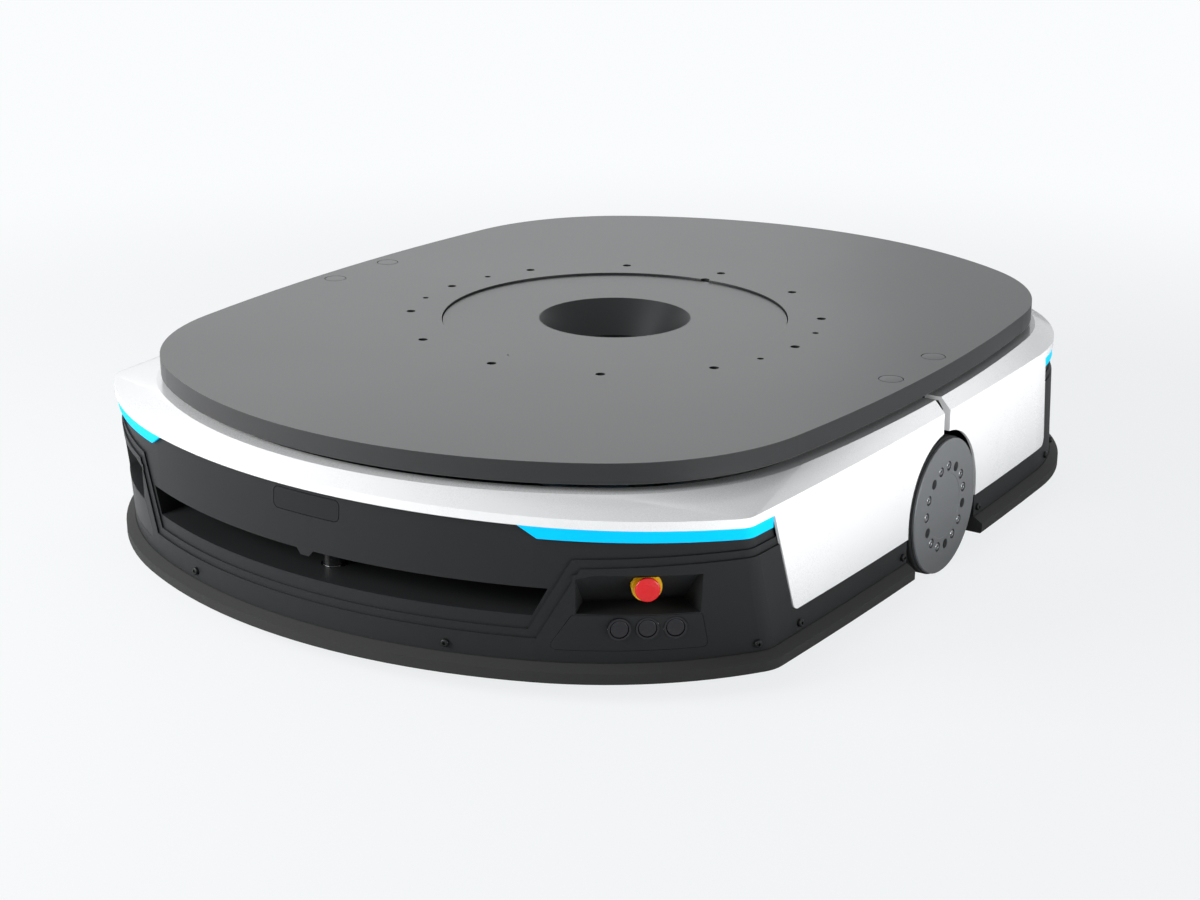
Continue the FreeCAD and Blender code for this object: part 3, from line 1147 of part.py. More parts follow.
def build_wheels():
    """Drive wheels: hub with its face disc, tyre and the ten face screws."""
    barrel_low = "wheel_face_x - wheel_face_thick - tyre_width"
    rim = "wheel_radius - tyre_depth"
    hub = [("0", barrel_low + " - 6.7"), ("shaft_radius", barrel_low + " - 6.7"), ("shaft_radius", barrel_low),
           (rim, barrel_low), (rim, "wheel_face_x - wheel_face_thick"),
           ("wheel_face_radius", "wheel_face_x - wheel_face_thick"), ("wheel_face_radius", "wheel_face_x - 1.2"),
           ("wheel_face_radius - 1.2", "wheel_face_x"), ("44", "wheel_face_x"), ("43.5", "wheel_face_x - 0.6"),
           ("0", "wheel_face_x - 0.6")]
    tread = [(rim, barrel_low), ("wheel_radius - 3", barrel_low), ("wheel_radius", barrel_low + " + 3"),
             ("wheel_radius", barrel_low + " + tyre_width - 4.5"),
             ("wheel_radius - 2", barrel_low + " + tyre_width - 2.5"),
             ("wheel_radius - 2", barrel_low + " + tyre_width - 0.3"), (rim, barrel_low + " + tyre_width - 0.3")]
    for name, side in (("left", -1), ("right", 1)):
        disc = turned(name + "_wheel_hub", hub, z="wheel_radius", axis=Y_AXIS, angle=90 * side)
        hole_angle = "(wheel_first_angle - 24 + 90)"
        spot = circle_spot(hole_angle, "wheel_hole_radius")
        through = pocket(disc, circles(disc, "XY_Plane", [spot]), "wheel_face_x + 10", True)
        polar(disc, through, 5)
        for offset in (24, -24):
            angle = "(%s + %d)" % (hole_angle, offset)
            seats = circles(disc, "XY_Plane", [circle_spot(angle, "screw_head_radius + fit_gap")])
            bind(seats, AttachmentOffset_Base_z="wheel_face_x - 4")
            polar(disc, pocket(disc, seats, "10", True), 5)
            bores = circles(disc, "XY_Plane", [circle_spot(angle, "4.2")])
            bind(bores, AttachmentOffset_Base_z="wheel_face_x - 24")
            polar(disc, pocket(disc, bores, "40", True), 5)
        turned(name + "_tyre", tread, z="wheel_radius", axis=Y_AXIS, angle=90 * side)
        screws = []
        for index in range(15):
            if index % 3 != 1:
                angle = "(wheel_first_angle - %d)" % (24 * index)
                y = "wheel_circle_radius * cos(%s * 1 deg)" % angle
                z = "wheel_radius + wheel_circle_radius * sin(%s * 1 deg)" % angle
                head_x, shank_x = "wheel_face_x - 4 + fit_gap", "wheel_face_x - 23"
                if side < 0:
                    head_x, shank_x = "-wheel_face_x + 0.3", "-wheel_face_x + 4 - fit_gap - 0.5"
                head = rod("ScrewHead", "screw_head_radius", "4 - fit_gap - 0.3", head_x, y, z, "X")
                shank = rod("ScrewShank", "4", "19.5", shank_x, y, z, "X")
                socket = rod("ScrewSocket", "3", "3", "wheel_face_x - 2.8" if side > 0
                             else "-wheel_face_x - 0.2", y, z, "X")
                screws.append(cut("WheelScrew", fused("ScrewBody", [head, shank]), socket))
        keep(grouped(name + "_wheel_screws", screws), name + "_wheel_screws")


def circle_spot(angle, radius):
    """A spot on the wheel's circle, as formulas for x, y and radius."""
    return ("wheel_circle_radius * cos(%s * 1 deg)" % angle, "wheel_circle_radius * sin(%s * 1 deg)" % angle,
            radius)


def build_casters():
    """Four swivel casters: mounting plate with its boss, fork with king pin and axle, and wheel."""
    leg_x = "caster_width / 2 + 1.5"
    for end_name, end in (("front", -1), ("rear", 1)):
        plates = []
        for side_name, side in (("left", -1), ("right", 1)):
            x, y = "%d * caster_x" % side, "%d * caster_y" % end
            plate = block("Plate", x, y, "caster_plate_z", "100", "85", "caster_plate_thick")
            boss = rod("Boss", "24", "9", x, y, "caster_plate_z - 9")
            bore = rod("Bore", "8 + bearing_gap", "60", x, y, "caster_plate_z - 20")
            plates.append(cut("CasterPlate", fused("PlateBoss", [plate, boss]), bore))
            crown_z = "caster_plate_z - 9 - fit_gap - 5"
            pieces = [rod("Crown", "24", "5", x, y, crown_z),
                      rod("KingPin", "8", "5 + fit_gap + 9 + 4", x, y, crown_z)]
            axle_y = "%s + caster_trail" % y
            for leg in (-1, 1):
                at = "%s + %d * (%s + fork_thick / 2)" % (x, leg, leg_x)
                pieces.append(block("Leg", at, "%s + caster_trail / 2" % y, "caster_radius", "fork_thick",
                                    "caster_trail + 14", "(%s) - caster_radius + 1" % crown_z))
                pieces.append(rod("LegEnd", "11", "fork_thick", "%s - fork_thick / 2" % at, axle_y,
                                  "caster_radius", "X"))
            pieces.append(rod("Axle", "5", "2 * (%s) + 2 * fork_thick + 4" % leg_x,
                              "%s - (%s) - fork_thick - 2" % (x, leg_x), axle_y, "caster_radius", "X"))
            pieces.append(block("CrownPlate", x, "%s + 4" % y, crown_z, "2 * (%s) + 2 * fork_thick" % leg_x,
                                "caster_trail + 14", "5"))
            name = "%s_%s_caster" % (end_name, side_name)
            keep(fused("Fork", pieces), name + "_fork")
            half, rim = "caster_width / 2", "caster_radius"
            wheel = [("5 + bearing_gap", "-(%s) - 1.2" % half), ("10", "-(%s) - 1.2" % half),
                     ("10", "-(%s) + 3" % half), (rim + " - 9", "-(%s) + 3" % half), (rim + " - 8", "-(%s)" % half),
                     (rim + " - 3", "-(%s)" % half), (rim, "-(%s) + 5" % half), (rim, "%s - 5" % half),
                     (rim + " - 3", half), (rim + " - 8", half), (rim + " - 9", "%s - 3" % half),
                     ("10", "%s - 3" % half), ("10", "%s + 1.2" % half), ("5 + bearing_gap", "%s + 1.2" % half)]
            turned(name + "_wheel", wheel, x, axle_y, "caster_radius", Y_AXIS, 90)
        keep(grouped(end_name + "_caster_plates", plates), end_name + "_caster_plates")


# ---------------------------------------------------------------- boxes and sensors

def build_boxes():
    """Battery, controller, scanners and charging contacts."""
    stand = "floor_z + floor_thick + fit_gap"
    battery = block("BatteryBox", "0", "-battery_y - battery_length / 2", stand, "battery_width",
                    "battery_length", "battery_height")
    grip = block("BatteryGrip", "0", "-battery_y - battery_length / 2",
                 stand + " + battery_height - 12", "120", "30", "30")
    keep(cut("Battery", battery, grip), "battery_pack")
    case = block("Case", "0", "battery_y + controller_length / 2", stand, "controller_width",
                 "controller_length", "controller_height")
    fins = [block("Fin", "0", "battery_y + 12 + %d * 16" % i, stand + " + controller_height - 0.5",
                  "controller_width - 30", "4", "10.5") for i in range(12)]
    keep(fused("Controller", [case] + fins), "controller_box")
    for name, end in (("front", -1), ("rear", 1)):
        low = stand
        profile_points = [("0", "0"), ("lidar_body_radius", "0"),
                          ("lidar_body_radius", "slot_low_z - fascia_wall - 1 - (%s)" % low),
                          ("lidar_head_radius", "slot_low_z - fascia_wall - 1 - (%s)" % low),
                          ("lidar_head_radius", "slot_low_z + 22 - (%s)" % low),
                          ("lidar_head_radius - 3", "slot_low_z + 25 - (%s)" % low),
                          ("0", "slot_low_z + 25 - (%s)" % low)]
        turned(name + "_scanner", profile_points, "0", "%d * lidar_y" % end, low)
    recess = size("light_recess")
    skin = housing(recess).cut(housing(recess + size("fascia_step") + size("fascia_wall")))
    contacts = []
    for side in (-1, 1):
        x, z = side * size("contact_spacing") / 2, size("contact_z")
        contacts.append(skin.common(box_between((x - 15, 600, z - 8), (x + 15, 720, z + 8))))
    shaped("charging_contacts", Part.makeCompound(contacts))


# ---------------------------------------------------------------- build, check and write

def check_and_write():
    """Check every object and sub-part, then write each sub-part to its file."""
    doc.recompute()
    for item in doc.Objects:
        if "Invalid" in item.State or "Error" in item.State:
            raise ValueError("%s (%s) has state %s" % (item.Name, item.Label, item.State))
    os.makedirs("parts", exist_ok=True)
    for item in sub_parts:
        shape = item.Shape
        if shape.isNull() or not shape.isValid() or not shape.Solids:
            raise ValueError("%s has no valid shape" % item.Label)
    for item in sub_parts:
        item.Shape.exportStep("parts/%s.step" % item.Label)
    print("%d sub-parts written" % len(sub_parts))


build_covers()
build_controls()
build_deck()
build_slewing()
build_lift()
build_frames()
build_wheels()
build_casters()
build_boxes()
check_and_write()
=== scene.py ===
"""Looks of a low mobile robot with a lifting, turning deck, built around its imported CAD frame."""
import json
import logging
import math
from dataclasses import dataclass
from enum import Enum
from typing import ClassVar

import bmesh
import bpy
import numpy as np
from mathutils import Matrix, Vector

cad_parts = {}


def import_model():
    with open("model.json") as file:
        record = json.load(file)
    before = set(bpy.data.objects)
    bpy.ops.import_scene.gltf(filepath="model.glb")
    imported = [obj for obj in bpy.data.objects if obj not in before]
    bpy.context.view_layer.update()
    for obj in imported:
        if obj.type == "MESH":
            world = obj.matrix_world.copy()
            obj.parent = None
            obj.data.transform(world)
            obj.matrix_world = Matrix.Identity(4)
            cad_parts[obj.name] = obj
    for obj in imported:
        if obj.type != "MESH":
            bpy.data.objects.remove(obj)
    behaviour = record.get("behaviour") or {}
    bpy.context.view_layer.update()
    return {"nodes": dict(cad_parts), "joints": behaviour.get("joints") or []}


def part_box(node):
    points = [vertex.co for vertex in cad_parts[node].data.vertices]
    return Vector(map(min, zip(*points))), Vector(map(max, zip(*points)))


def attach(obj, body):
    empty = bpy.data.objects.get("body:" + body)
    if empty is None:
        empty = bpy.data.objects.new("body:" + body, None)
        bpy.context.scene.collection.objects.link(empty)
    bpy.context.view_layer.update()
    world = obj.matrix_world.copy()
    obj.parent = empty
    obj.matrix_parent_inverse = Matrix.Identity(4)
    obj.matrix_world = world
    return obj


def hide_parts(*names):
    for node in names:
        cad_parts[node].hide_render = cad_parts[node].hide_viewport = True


LOG = logging.getLogger("robot_looks")
WELD = 1e-6  # points nearer than this are one, in metres
SHARP_ANGLE = 35.0  # degrees between faces from which an edge stays sharp
BACKDROP = (0.955, 0.973, 0.982, 1.0)
X_AXIS = np.array([1.0, 0.0, 0.0])
Z_AXIS = np.array([0.0, 0.0, 1.0])
Profile = list[tuple[float, float]]  # pairs of radius and height, in metres


class Texture(Enum):
    """How a finish breaks up its colour and gloss."""

    SPRAYED = "sprayed"
    MOULDED = "moulded"
    GROUND = "ground"
    RUBBER = "rubber"
    DIFFUSER = "diffuser"
    CAST = "cast"


def linear(code: str) -> tuple[float, float, float, float]:
    """Colour of a hex code as linear light.

    Args:
        code: six hex digits, such as "f4f4f4".

    Returns:
        Red, green, blue and alpha, each from 0 to 1.
    """
    parts = np.array([int(code[i:i + 2], 16) for i in (0, 2, 4)]) / 255.0
    light = np.where(parts <= 0.04045, parts / 12.92, ((parts + 0.055) / 1.055) ** 2.4)
    return (float(light[0]), float(light[1]), float(light[2]), 1.0)


@dataclass(frozen=True)
class Finish:
    """One surface finish: its colour, its gloss and the texture that breaks them up."""

    name: str
    colour: str
    second: str
    roughness: float
    metallic: float = 0.0
    texture: Texture = Texture.MOULDED
    grain: float = 900.0
    bump: float = 0.05
    patch: float = 6.0
    spread: float = 0.06
    coat: float = 0.0
    coat_roughness: float = 0.1
    specular: float = 0.5
    glow: float = 0.0
    # painted highlight: a lighter colour painted on sharp edges, and the width of that edge band in
    # metres
    edge_highlight: str = ""
    edge_highlight_width: float = 0.0012
    PATCH_SHARE: ClassVar[float] = 0.6
    RELIEF: ClassVar[float] = 0.0004

    def material(self) -> bpy.types.Material:
        """Build the finish as shader nodes, or return the one that is there.

        Returns:
            The material, which reads Object coordinates only.
        """
        known = bpy.data.materials.get(self.name)
        if known is not None:
            return known
        material = bpy.data.materials.new(self.name)
        material.use_nodes = True
        tree = material.node_tree
        tree.nodes.clear()
        output = tree.nodes.new("ShaderNodeOutputMaterial")
        shader = tree.nodes.new("ShaderNodeBsdfPrincipled")
        tree.links.new(shader.outputs["BSDF"], output.inputs["Surface"])
        shader.inputs["Metallic"].default_value = self.metallic
        shader.inputs["Coat Weight"].default_value = self.coat
        shader.inputs["Coat Roughness"].default_value = self.coat_roughness
        shader.inputs["Specular IOR Level"].default_value = self.specular
        place = tree.nodes.new("ShaderNodeTexCoord")
        mapping = tree.nodes.new("ShaderNodeMapping")
        mapping.inputs["Scale"].default_value = self.stretch()
        tree.links.new(place.outputs["Object"], mapping.inputs["Vector"])
        patches = self.noise(tree, place.outputs["Object"], self.patch, 3.0)
        grain = self.noise(tree, mapping.outputs["Vector"], self.grain, 2.0)
        blend = tree.nodes.new("ShaderNodeMix")
        blend.data_type = "RGBA"
        blend.inputs[6].default_value = linear(self.colour)
        blend.inputs[7].default_value = linear(self.second)
        both = tree.nodes.new("ShaderNodeMath")
        both.operation = "MULTIPLY_ADD"
        both.inputs[1].default_value = self.PATCH_SHARE
        tree.links.new(patches.outputs["Fac"], both.inputs[0])
        weak = tree.nodes.new("ShaderNodeMath")
        weak.operation = "MULTIPLY"
        weak.inputs[1].default_value = 1.0 - self.PATCH_SHARE
        tree.links.new(grain.outputs["Fac"], weak.inputs[0])
        tree.links.new(weak.outputs[0], both.inputs[2])
        tree.links.new(both.outputs[0], blend.inputs[0])
        colour = blend.outputs[2]
        # painted highlight: sharp edges are painted in a lighter colour
        if self.edge_highlight:
            colour = self.paint_edge_highlight(tree, colour)
        tree.links.new(colour, shader.inputs["Base Color"])
        gloss = tree.nodes.new("ShaderNodeMapRange")
        gloss.inputs["From Min"].default_value = 0.25
        gloss.inputs["From Max"].default_value = 0.75
        gloss.inputs["To Min"].default_value = max(self.roughness - self.spread, 0.02)
        gloss.inputs["To Max"].default_value = min(self.roughness + self.spread, 1.0)
        tree.links.new(both.outputs[0], gloss.inputs["Value"])
        tree.links.new(gloss.outputs["Result"], shader.inputs["Roughness"])
        relief = tree.nodes.new("ShaderNodeBump")
        relief.inputs["Strength"].default_value = self.bump
        relief.inputs["Distance"].default_value = self.RELIEF
        tree.links.new(grain.outputs["Fac"], relief.inputs["Height"])
        tree.links.new(relief.outputs["Normal"], shader.inputs["Normal"])
        if self.glow > 0.0:
            tree.links.new(colour, shader.inputs["Emission Color"])
            shader.inputs["Emission Strength"].default_value = self.glow
        return material

    def stretch(self) -> tuple[float, float, float]:
        """Scale of the grain along X, Y and Z: ground metal has its scratches along X."""
        return (0.06, 1.0, 1.0) if self.texture is Texture.GROUND else (1.0, 1.0, 1.0)

    @staticmethod
    def noise(tree: bpy.types.NodeTree, vector: bpy.types.NodeSocket, scale: float,
              detail: float) -> bpy.types.Node:
        """Add a noise texture.

        Args:
            tree: node tree that gets it.
            vector: socket with the coordinates.
            scale: cells in a metre.
            detail: octaves.

        Returns:
            The noise node.
        """
        node = tree.nodes.new("ShaderNodeTexNoise")
        node.inputs["Scale"].default_value = scale
        node.inputs["Detail"].default_value = detail
        tree.links.new(vector, node.inputs["Vector"])
        return node

    def paint_edge_highlight(self, tree: bpy.types.NodeTree, colour: bpy.types.NodeSocket) -> bpy.types.NodeSocket:
        """Paint a highlight on the sharp edges: lighten the colour where a rounded normal departs
        from the flat one.

        Args:
            tree: node tree that gets the nodes.
            colour: socket with the colour before the painted edge highlight.

        Returns:
            The socket with the colour that carries the painted edge highlight.
        """
        rounded = tree.nodes.new("ShaderNodeBevel")
        rounded.samples = 4
        rounded.inputs["Radius"].default_value = self.edge_highlight_width
        flat = tree.nodes.new("ShaderNodeNewGeometry")
        turn = tree.nodes.new("ShaderNodeVectorMath")
        turn.operation = "DOT_PRODUCT"
        tree.links.new(rounded.outputs["Normal"], turn.inputs[0])
        tree.links.new(flat.outputs["Normal"], turn.inputs[1])
        share = tree.nodes.new("ShaderNodeMapRange")
        share.inputs["From Min"].default_value = 0.98
        share.inputs["From Max"].default_value = 0.80
        tree.links.new(turn.outputs["Value"], share.inputs["Value"])
        mix = tree.nodes.new("ShaderNodeMix")
        mix.data_type = "RGBA"
        mix.inputs[7].default_value = linear(self.edge_highlight)
        tree.links.new(share.outputs["Result"], mix.inputs[0])
        tree.links.new(colour, mix.inputs[6])
        return mix.outputs[2]


# the lighter edge colours of the deck, frame and wheel finishes are painted highlights on their
# sharp edges
DECK_PAINT = Finish("deck_paint", "232425", "28292a", 0.36, texture=Texture.SPRAYED, grain=1400.0,
                    bump=0.08, patch=2.0, spread=0.02, edge_highlight="58595a")
FRAME_PAINT = Finish("frame_paint", "26282a", "2d2f31", 0.5, texture=Texture.SPRAYED, edge_highlight="4a4c4e")
COVER_WHITE = Finish("cover_white", "f4f5f6", "f2f3f4", 0.28, texture=Texture.SPRAYED, grain=700.0,
                     bump=0.02, coat=0.35, coat_roughness=0.08)
FASCIA_BLACK = Finish("fascia_black", "28292a", "2c2d2e", 0.42, grain=2200.0, bump=0.15,
                      specular=0.12)
PANEL_BLACK = Finish("panel_black", "28292a", "2b2c2d", 0.38, grain=1800.0, bump=0.12,
                     specular=0.14)
BUMPER = Finish("bumper_rubber", "1c1d1e", "222324", 0.5, texture=Texture.RUBBER, grain=1200.0,
                bump=0.25, specular=0.4)
LIGHT = Finish("light_diffuser", "00b4ec", "00bcf4", 0.45, texture=Texture.DIFFUSER, grain=300.0,
               bump=0.02, specular=0.08, glow=0.35)
GROUND_STEEL = Finish("ground_steel", "8c8e91", "a3a5a8", 0.34, 0.95, Texture.GROUND, 1500.0, 0.12)
BLACK_STEEL = Finish("black_steel", "1b1c1d", "262728", 0.45, 0.6, Texture.CAST, 1000.0, 0.15)
ALUMINIUM = Finish("machined_aluminium", "9b9da0", "acaeb1", 0.38, 0.9, Texture.GROUND, 1300.0, 0.1)
WHEEL_GREY = Finish("wheel_grey", "3c3d3e", "444546", 0.38, 0.0, Texture.SPRAYED, 1200.0, 0.1,
                    edge_highlight="6a6b6c")
TYRE = Finish("tyre_rubber", "1f2021", "2b2c2d", 0.8, texture=Texture.RUBBER, grain=1500.0,
              bump=0.45)
SCREW = Finish("bright_screw", "a9abae", "bfc1c4", 0.25, 1.0, Texture.GROUND, 1800.0, 0.08)
STOP_RED = Finish("stop_red", "ee1c22", "f2262c", 0.25, grain=500.0, bump=0.03, coat=0.4)
STOP_YELLOW = Finish("stop_yellow", "f2c200", "f7cc14", 0.35, grain=700.0, bump=0.05)
BUTTON_BLACK = Finish("button_black", "141516", "1c1d1e", 0.3, grain=900.0, bump=0.05, coat=0.3)
SMOKED = Finish("smoked_window", "0f1011", "16171a", 0.12, grain=400.0, bump=0.01, coat=0.6)
COVER_PLATE = Finish("window_cover", "242526", "28292a", 0.34, grain=900.0, bump=0.03,
                     specular=0.12)
COPPER = Finish("contact_copper", "b4713a", "c78550", 0.3, 1.0, Texture.GROUND, 1500.0, 0.1)

NODE_FINISHES = {
    DECK_PAINT: ("deck_plate", "deck_plugs", "centre_disc"),
    FRAME_PAINT: ("front_frame", "rear_frame", "battery_pack"),
    COVER_WHITE: ("front_shell", "rear_shell"),
    FASCIA_BLACK: ("front_fascia", "rear_fascia"),
    PANEL_BLACK: ("control_panel", "blank_panel"),
    BUMPER: ("front_bumper", "rear_bumper"),
    LIGHT: ("front_light_strips", "rear_light_strips"),
    GROUND_STEEL: ("front_caster_plates", "rear_caster_plates", "lift_base", "carriage_plate",
                   "jack_rods", "inner_race", "outer_race", "slewing_pinion",
                   "front_left_caster_fork", "front_right_caster_fork",
                   "rear_left_caster_fork", "rear_right_caster_fork"),
    BLACK_STEEL: ("front_fascia_screws", "rear_fascia_screws", "drive_motors", "slewing_motor",
                  "ring_bolts", "camera_funnel"),
    ALUMINIUM: ("gearboxes", "jack_tubes", "controller_box"),
    WHEEL_GREY: ("left_wheel_hub", "right_wheel_hub"),
    TYRE: ("left_tyre", "right_tyre", "front_left_caster_wheel", "front_right_caster_wheel",
           "rear_left_caster_wheel", "rear_right_caster_wheel"),
    SCREW: ("left_wheel_screws", "right_wheel_screws"),
    STOP_RED: ("estop_head",),
    STOP_YELLOW: ("estop_collar",),
    BUTTON_BLACK: ("left_button", "middle_button", "right_button", "button_bezels",
                   "switch_blocks", "upward_camera"),
    SMOKED: ("front_scanner", "rear_scanner"),
    COVER_PLATE: ("camera_window",),
    COPPER: ("charging_contacts", "pivot_bushes"),
}


def dress(item: bpy.types.Object, finish: Finish) -> None:
    """Give every material slot of an object one finish.

    Args:
        item: mesh object, a CAD node or a new piece.
        finish: the finish it takes.
    """
    material = finish.material()
    if not item.material_slots:
        item.data.materials.append(material)
    for slot in item.material_slots:
        slot.link = "OBJECT"
        slot.material = material


@dataclass
class Studio:
    """Camera, floor and soft lamps."""

    camera_place: tuple[float, float, float] = (1.6380, -2.4607, 1.0780)
    camera_turn: tuple[float, float, float] = (71.20, 0.0, 34.06)
    lens: float = 64.415
    sensor: float = 36.0
    floor_size: float = 40.0
    sky: float = 0.20
    shadow_share: float = 0.16
    plain_from: float = 1.2
    plain_to: float = 2.6

    def build(self) -> None:
        """Make the camera, the floor, the world and the lamps."""
        data = bpy.data.cameras.new("camera")
        data.lens = self.lens
        data.sensor_width = self.sensor
        data.clip_end = 100.0
        camera = bpy.data.objects.new("camera", data)
        camera.location = self.camera_place
        camera.rotation_euler = [math.radians(a) for a in self.camera_turn]
        bpy.context.scene.collection.objects.link(camera)
        bpy.context.scene.camera = camera
        self.build_floor()
        self.build_world()
        self.lamp("key_lamp", (-1.85, -2.65, 1.45), (2.2, 1.4), 112.0)
        self.lamp("side_lamp", (3.0, 0.0, 0.45), (2.6, 0.8), 24.0)
        self.lamp("low_lamp", (1.25, 0.0, 0.015), (0.5, 2.6), 38.0, (1.25, 0.0, 1.0), True)
        self.lamp("back_lamp", (-2.2, 2.4, 1.6), (2.6, 1.2), 8.0)
        bpy.context.scene.view_settings.view_transform = "Standard"

    def build_floor(self) -> None:
        """Make one square grid z = 0, white to the camera where no shadow falls."""
        span = np.linspace(-self.floor_size / 2, self.floor_size / 2, 5)
        item = sheet_object("floor", *np.meshgrid(span, span, indexing="ij"), np.zeros((5, 5)))
        material = bpy.data.materials.new("floor_pale")
        material.use_nodes = True
        tree = material.node_tree
        matt = tree.nodes["Principled BSDF"]
        matt.inputs["Base Color"].default_value = (0.93, 0.94, 0.945, 1.0)
        matt.inputs["Roughness"].default_value = 0.9
        matt.inputs["Specular IOR Level"].default_value = 0.1
        plain = tree.nodes.new("ShaderNodeEmission")
        plain.inputs["Color"].default_value = BACKDROP
        path = tree.nodes.new("ShaderNodeLightPath")
        seen = tree.nodes.new("ShaderNodeMath")
        seen.operation = "MAXIMUM"
        tree.links.new(path.outputs["Is Camera Ray"], seen.inputs[0])
        tree.links.new(path.outputs["Is Transmission Ray"], seen.inputs[1])
        place = tree.nodes.new("ShaderNodeTexCoord")
        reach = tree.nodes.new("ShaderNodeVectorMath")
        reach.operation = "LENGTH"
        tree.links.new(place.outputs["Object"], reach.inputs[0])
        fade = tree.nodes.new("ShaderNodeMapRange")
        fade.interpolation_type = "SMOOTHSTEP"
        for socket, value in (("From Min", self.plain_from), ("From Max", self.plain_to),
                              ("To Min", 1.0 - self.shadow_share), ("To Max", 1.0)):
            fade.inputs[socket].default_value = value
        tree.links.new(reach.outputs["Value"], fade.inputs["Value"])
        share = tree.nodes.new("ShaderNodeMath")
        share.operation = "MULTIPLY"
        tree.links.new(seen.outputs[0], share.inputs[0])
        tree.links.new(fade.outputs[0], share.inputs[1])
        mix = tree.nodes.new("ShaderNodeMixShader")
        tree.links.new(share.outputs[0], mix.inputs[0])
        tree.links.new(matt.outputs[0], mix.inputs[1])
        tree.links.new(plain.outputs[0], mix.inputs[2])
        tree.links.new(mix.outputs[0], tree.nodes["Material Output"].inputs["Surface"])
        item.data.materials.append(material)

    def build_world(self) -> None:
        """White to the camera and to reflections, and a softer even light on the object."""
        world = bpy.data.worlds.new("studio")
        world.use_nodes = True
        bpy.context.scene.world = world
        tree = world.node_tree
        tree.nodes.clear()
        output = tree.nodes.new("ShaderNodeOutputWorld")
        seen = tree.nodes.new("ShaderNodeBackground")
        seen.inputs["Color"].default_value = BACKDROP
        light = tree.nodes.new("ShaderNodeBackground")
        light.inputs["Color"].default_value = (0.97, 0.985, 1.0, 1.0)
        light.inputs["Strength"].default_value = self.sky
        path = tree.nodes.new("ShaderNodeLightPath")
        rays = path.outputs["Is Camera Ray"]
        for name in ("Is Glossy Ray", "Is Transmission Ray"):
            either = tree.nodes.new("ShaderNodeMath")
            either.operation = "MAXIMUM"
            tree.links.new(rays, either.inputs[0])
            tree.links.new(path.outputs[name], either.inputs[1])
            rays = either.outputs[0]
        mix = tree.nodes.new("ShaderNodeMixShader")
        tree.links.new(rays, mix.inputs[0])
        tree.links.new(light.outputs[0], mix.inputs[1])
        tree.links.new(seen.outputs[0], mix.inputs[2])
        tree.links.new(mix.outputs[0], output.inputs["Surface"])

    @staticmethod
    def lamp(name: str, place: tuple[float, float, float], size: tuple[float, float], power: float,
             aim: tuple[float, float, float] = (0.0, 0.0, 0.15), hidden: bool = False) -> None:
        """Add a soft rectangular lamp.

        Args:
            name: name of the lamp.
            place: where it stands, in metres.
            size: width and height, in metres.
            power: watts.
            aim: point that it faces.
            hidden: whether neither the camera nor reflections see it.
        """
        data = bpy.data.lights.new(name, "AREA")
        data.shape = "RECTANGLE"
        data.size, data.size_y = size
        data.energy = power
        item = bpy.data.objects.new(name, data)
        item.location = place
        item.visible_camera = item.visible_glossy = not hidden
        away = np.array(place) - np.array(aim)
        item.rotation_euler = (math.atan2(math.hypot(away[0], away[1]), away[2]), 0.0,
                               math.atan2(away[0], -away[1]))
        bpy.context.scene.collection.objects.link(item)


def sheet_object(name: str, x: np.ndarray, y: np.ndarray, z: np.ndarray,
                 around: bool = False, along: bool = False) -> bpy.types.Object:
    """Make a mesh from a grid of points.

    Corner (i, j) joins (i + 1, j), (i + 1, j + 1) and (i, j + 1).

    Args:
        name: name of the object.
        x, y, z: arrays of one shape, rows i by columns j, in metres.
        around: whether the last column joins the first.
        along: whether the last row joins the first.

    Returns:
        The new object, linked to the scene at the origin.
    """
    rows, columns = x.shape
    points = np.stack([x, y, z], axis=-1).reshape(-1, 3)
    index = np.arange(rows * columns).reshape(rows, columns)
    down = np.roll(index, -1, axis=0)
    right = np.roll(index, -1, axis=1)
    both = np.roll(down, -1, axis=1)
    faces = np.stack([index, down, both, right], axis=-1)
    last_row = rows if along else rows - 1
    last_column = columns if around else columns - 1
    faces = faces[:last_row, :last_column].reshape(-1, 4)
    mesh = bpy.data.meshes.new(name)
    mesh.from_pydata(points.tolist(), [], faces.tolist())
    item = bpy.data.objects.new(name, mesh)
    bpy.context.scene.collection.objects.link(item)
    return item


def joined_points(name: str) -> np.ndarray:
    """Vertices of a CAD node as an array, one row each.

    Args:
        name: name of the node.

    Returns:
        Points in metres.
    """
    mesh = bpy.data.objects[name].data
    flat = np.empty(len(mesh.vertices) * 3)
    mesh.vertices.foreach_get("co", flat)
    return flat.reshape(-1, 3)


def bore_radius(name: str, centre: np.ndarray) -> float:
    """Smallest radius of a node about the X axis through a point.

    Args:
        name: name of the node.
        centre: point on the axis.

    Returns:
        The radius in metres.
    """
    offset = joined_points(name) - centre
    return float(np.min(np.hypot(offset[:, 1], offset[:, 2])))


def basis(axis: np.ndarray) -> np.ndarray:
    """Three unit rows: two across an axis, then the axis itself.

    Args:
        axis: direction.

    Returns:
        A 3 by 3 rotation whose last row is the axis.
    """
    along = np.asarray(axis, float) / np.linalg.norm(axis)
    helper = Z_AXIS if abs(along[2]) < 0.9 else X_AXIS
    across = np.cross(helper, along)
    across /= np.linalg.norm(across)
    return np.stack([across, np.cross(along, across), along])


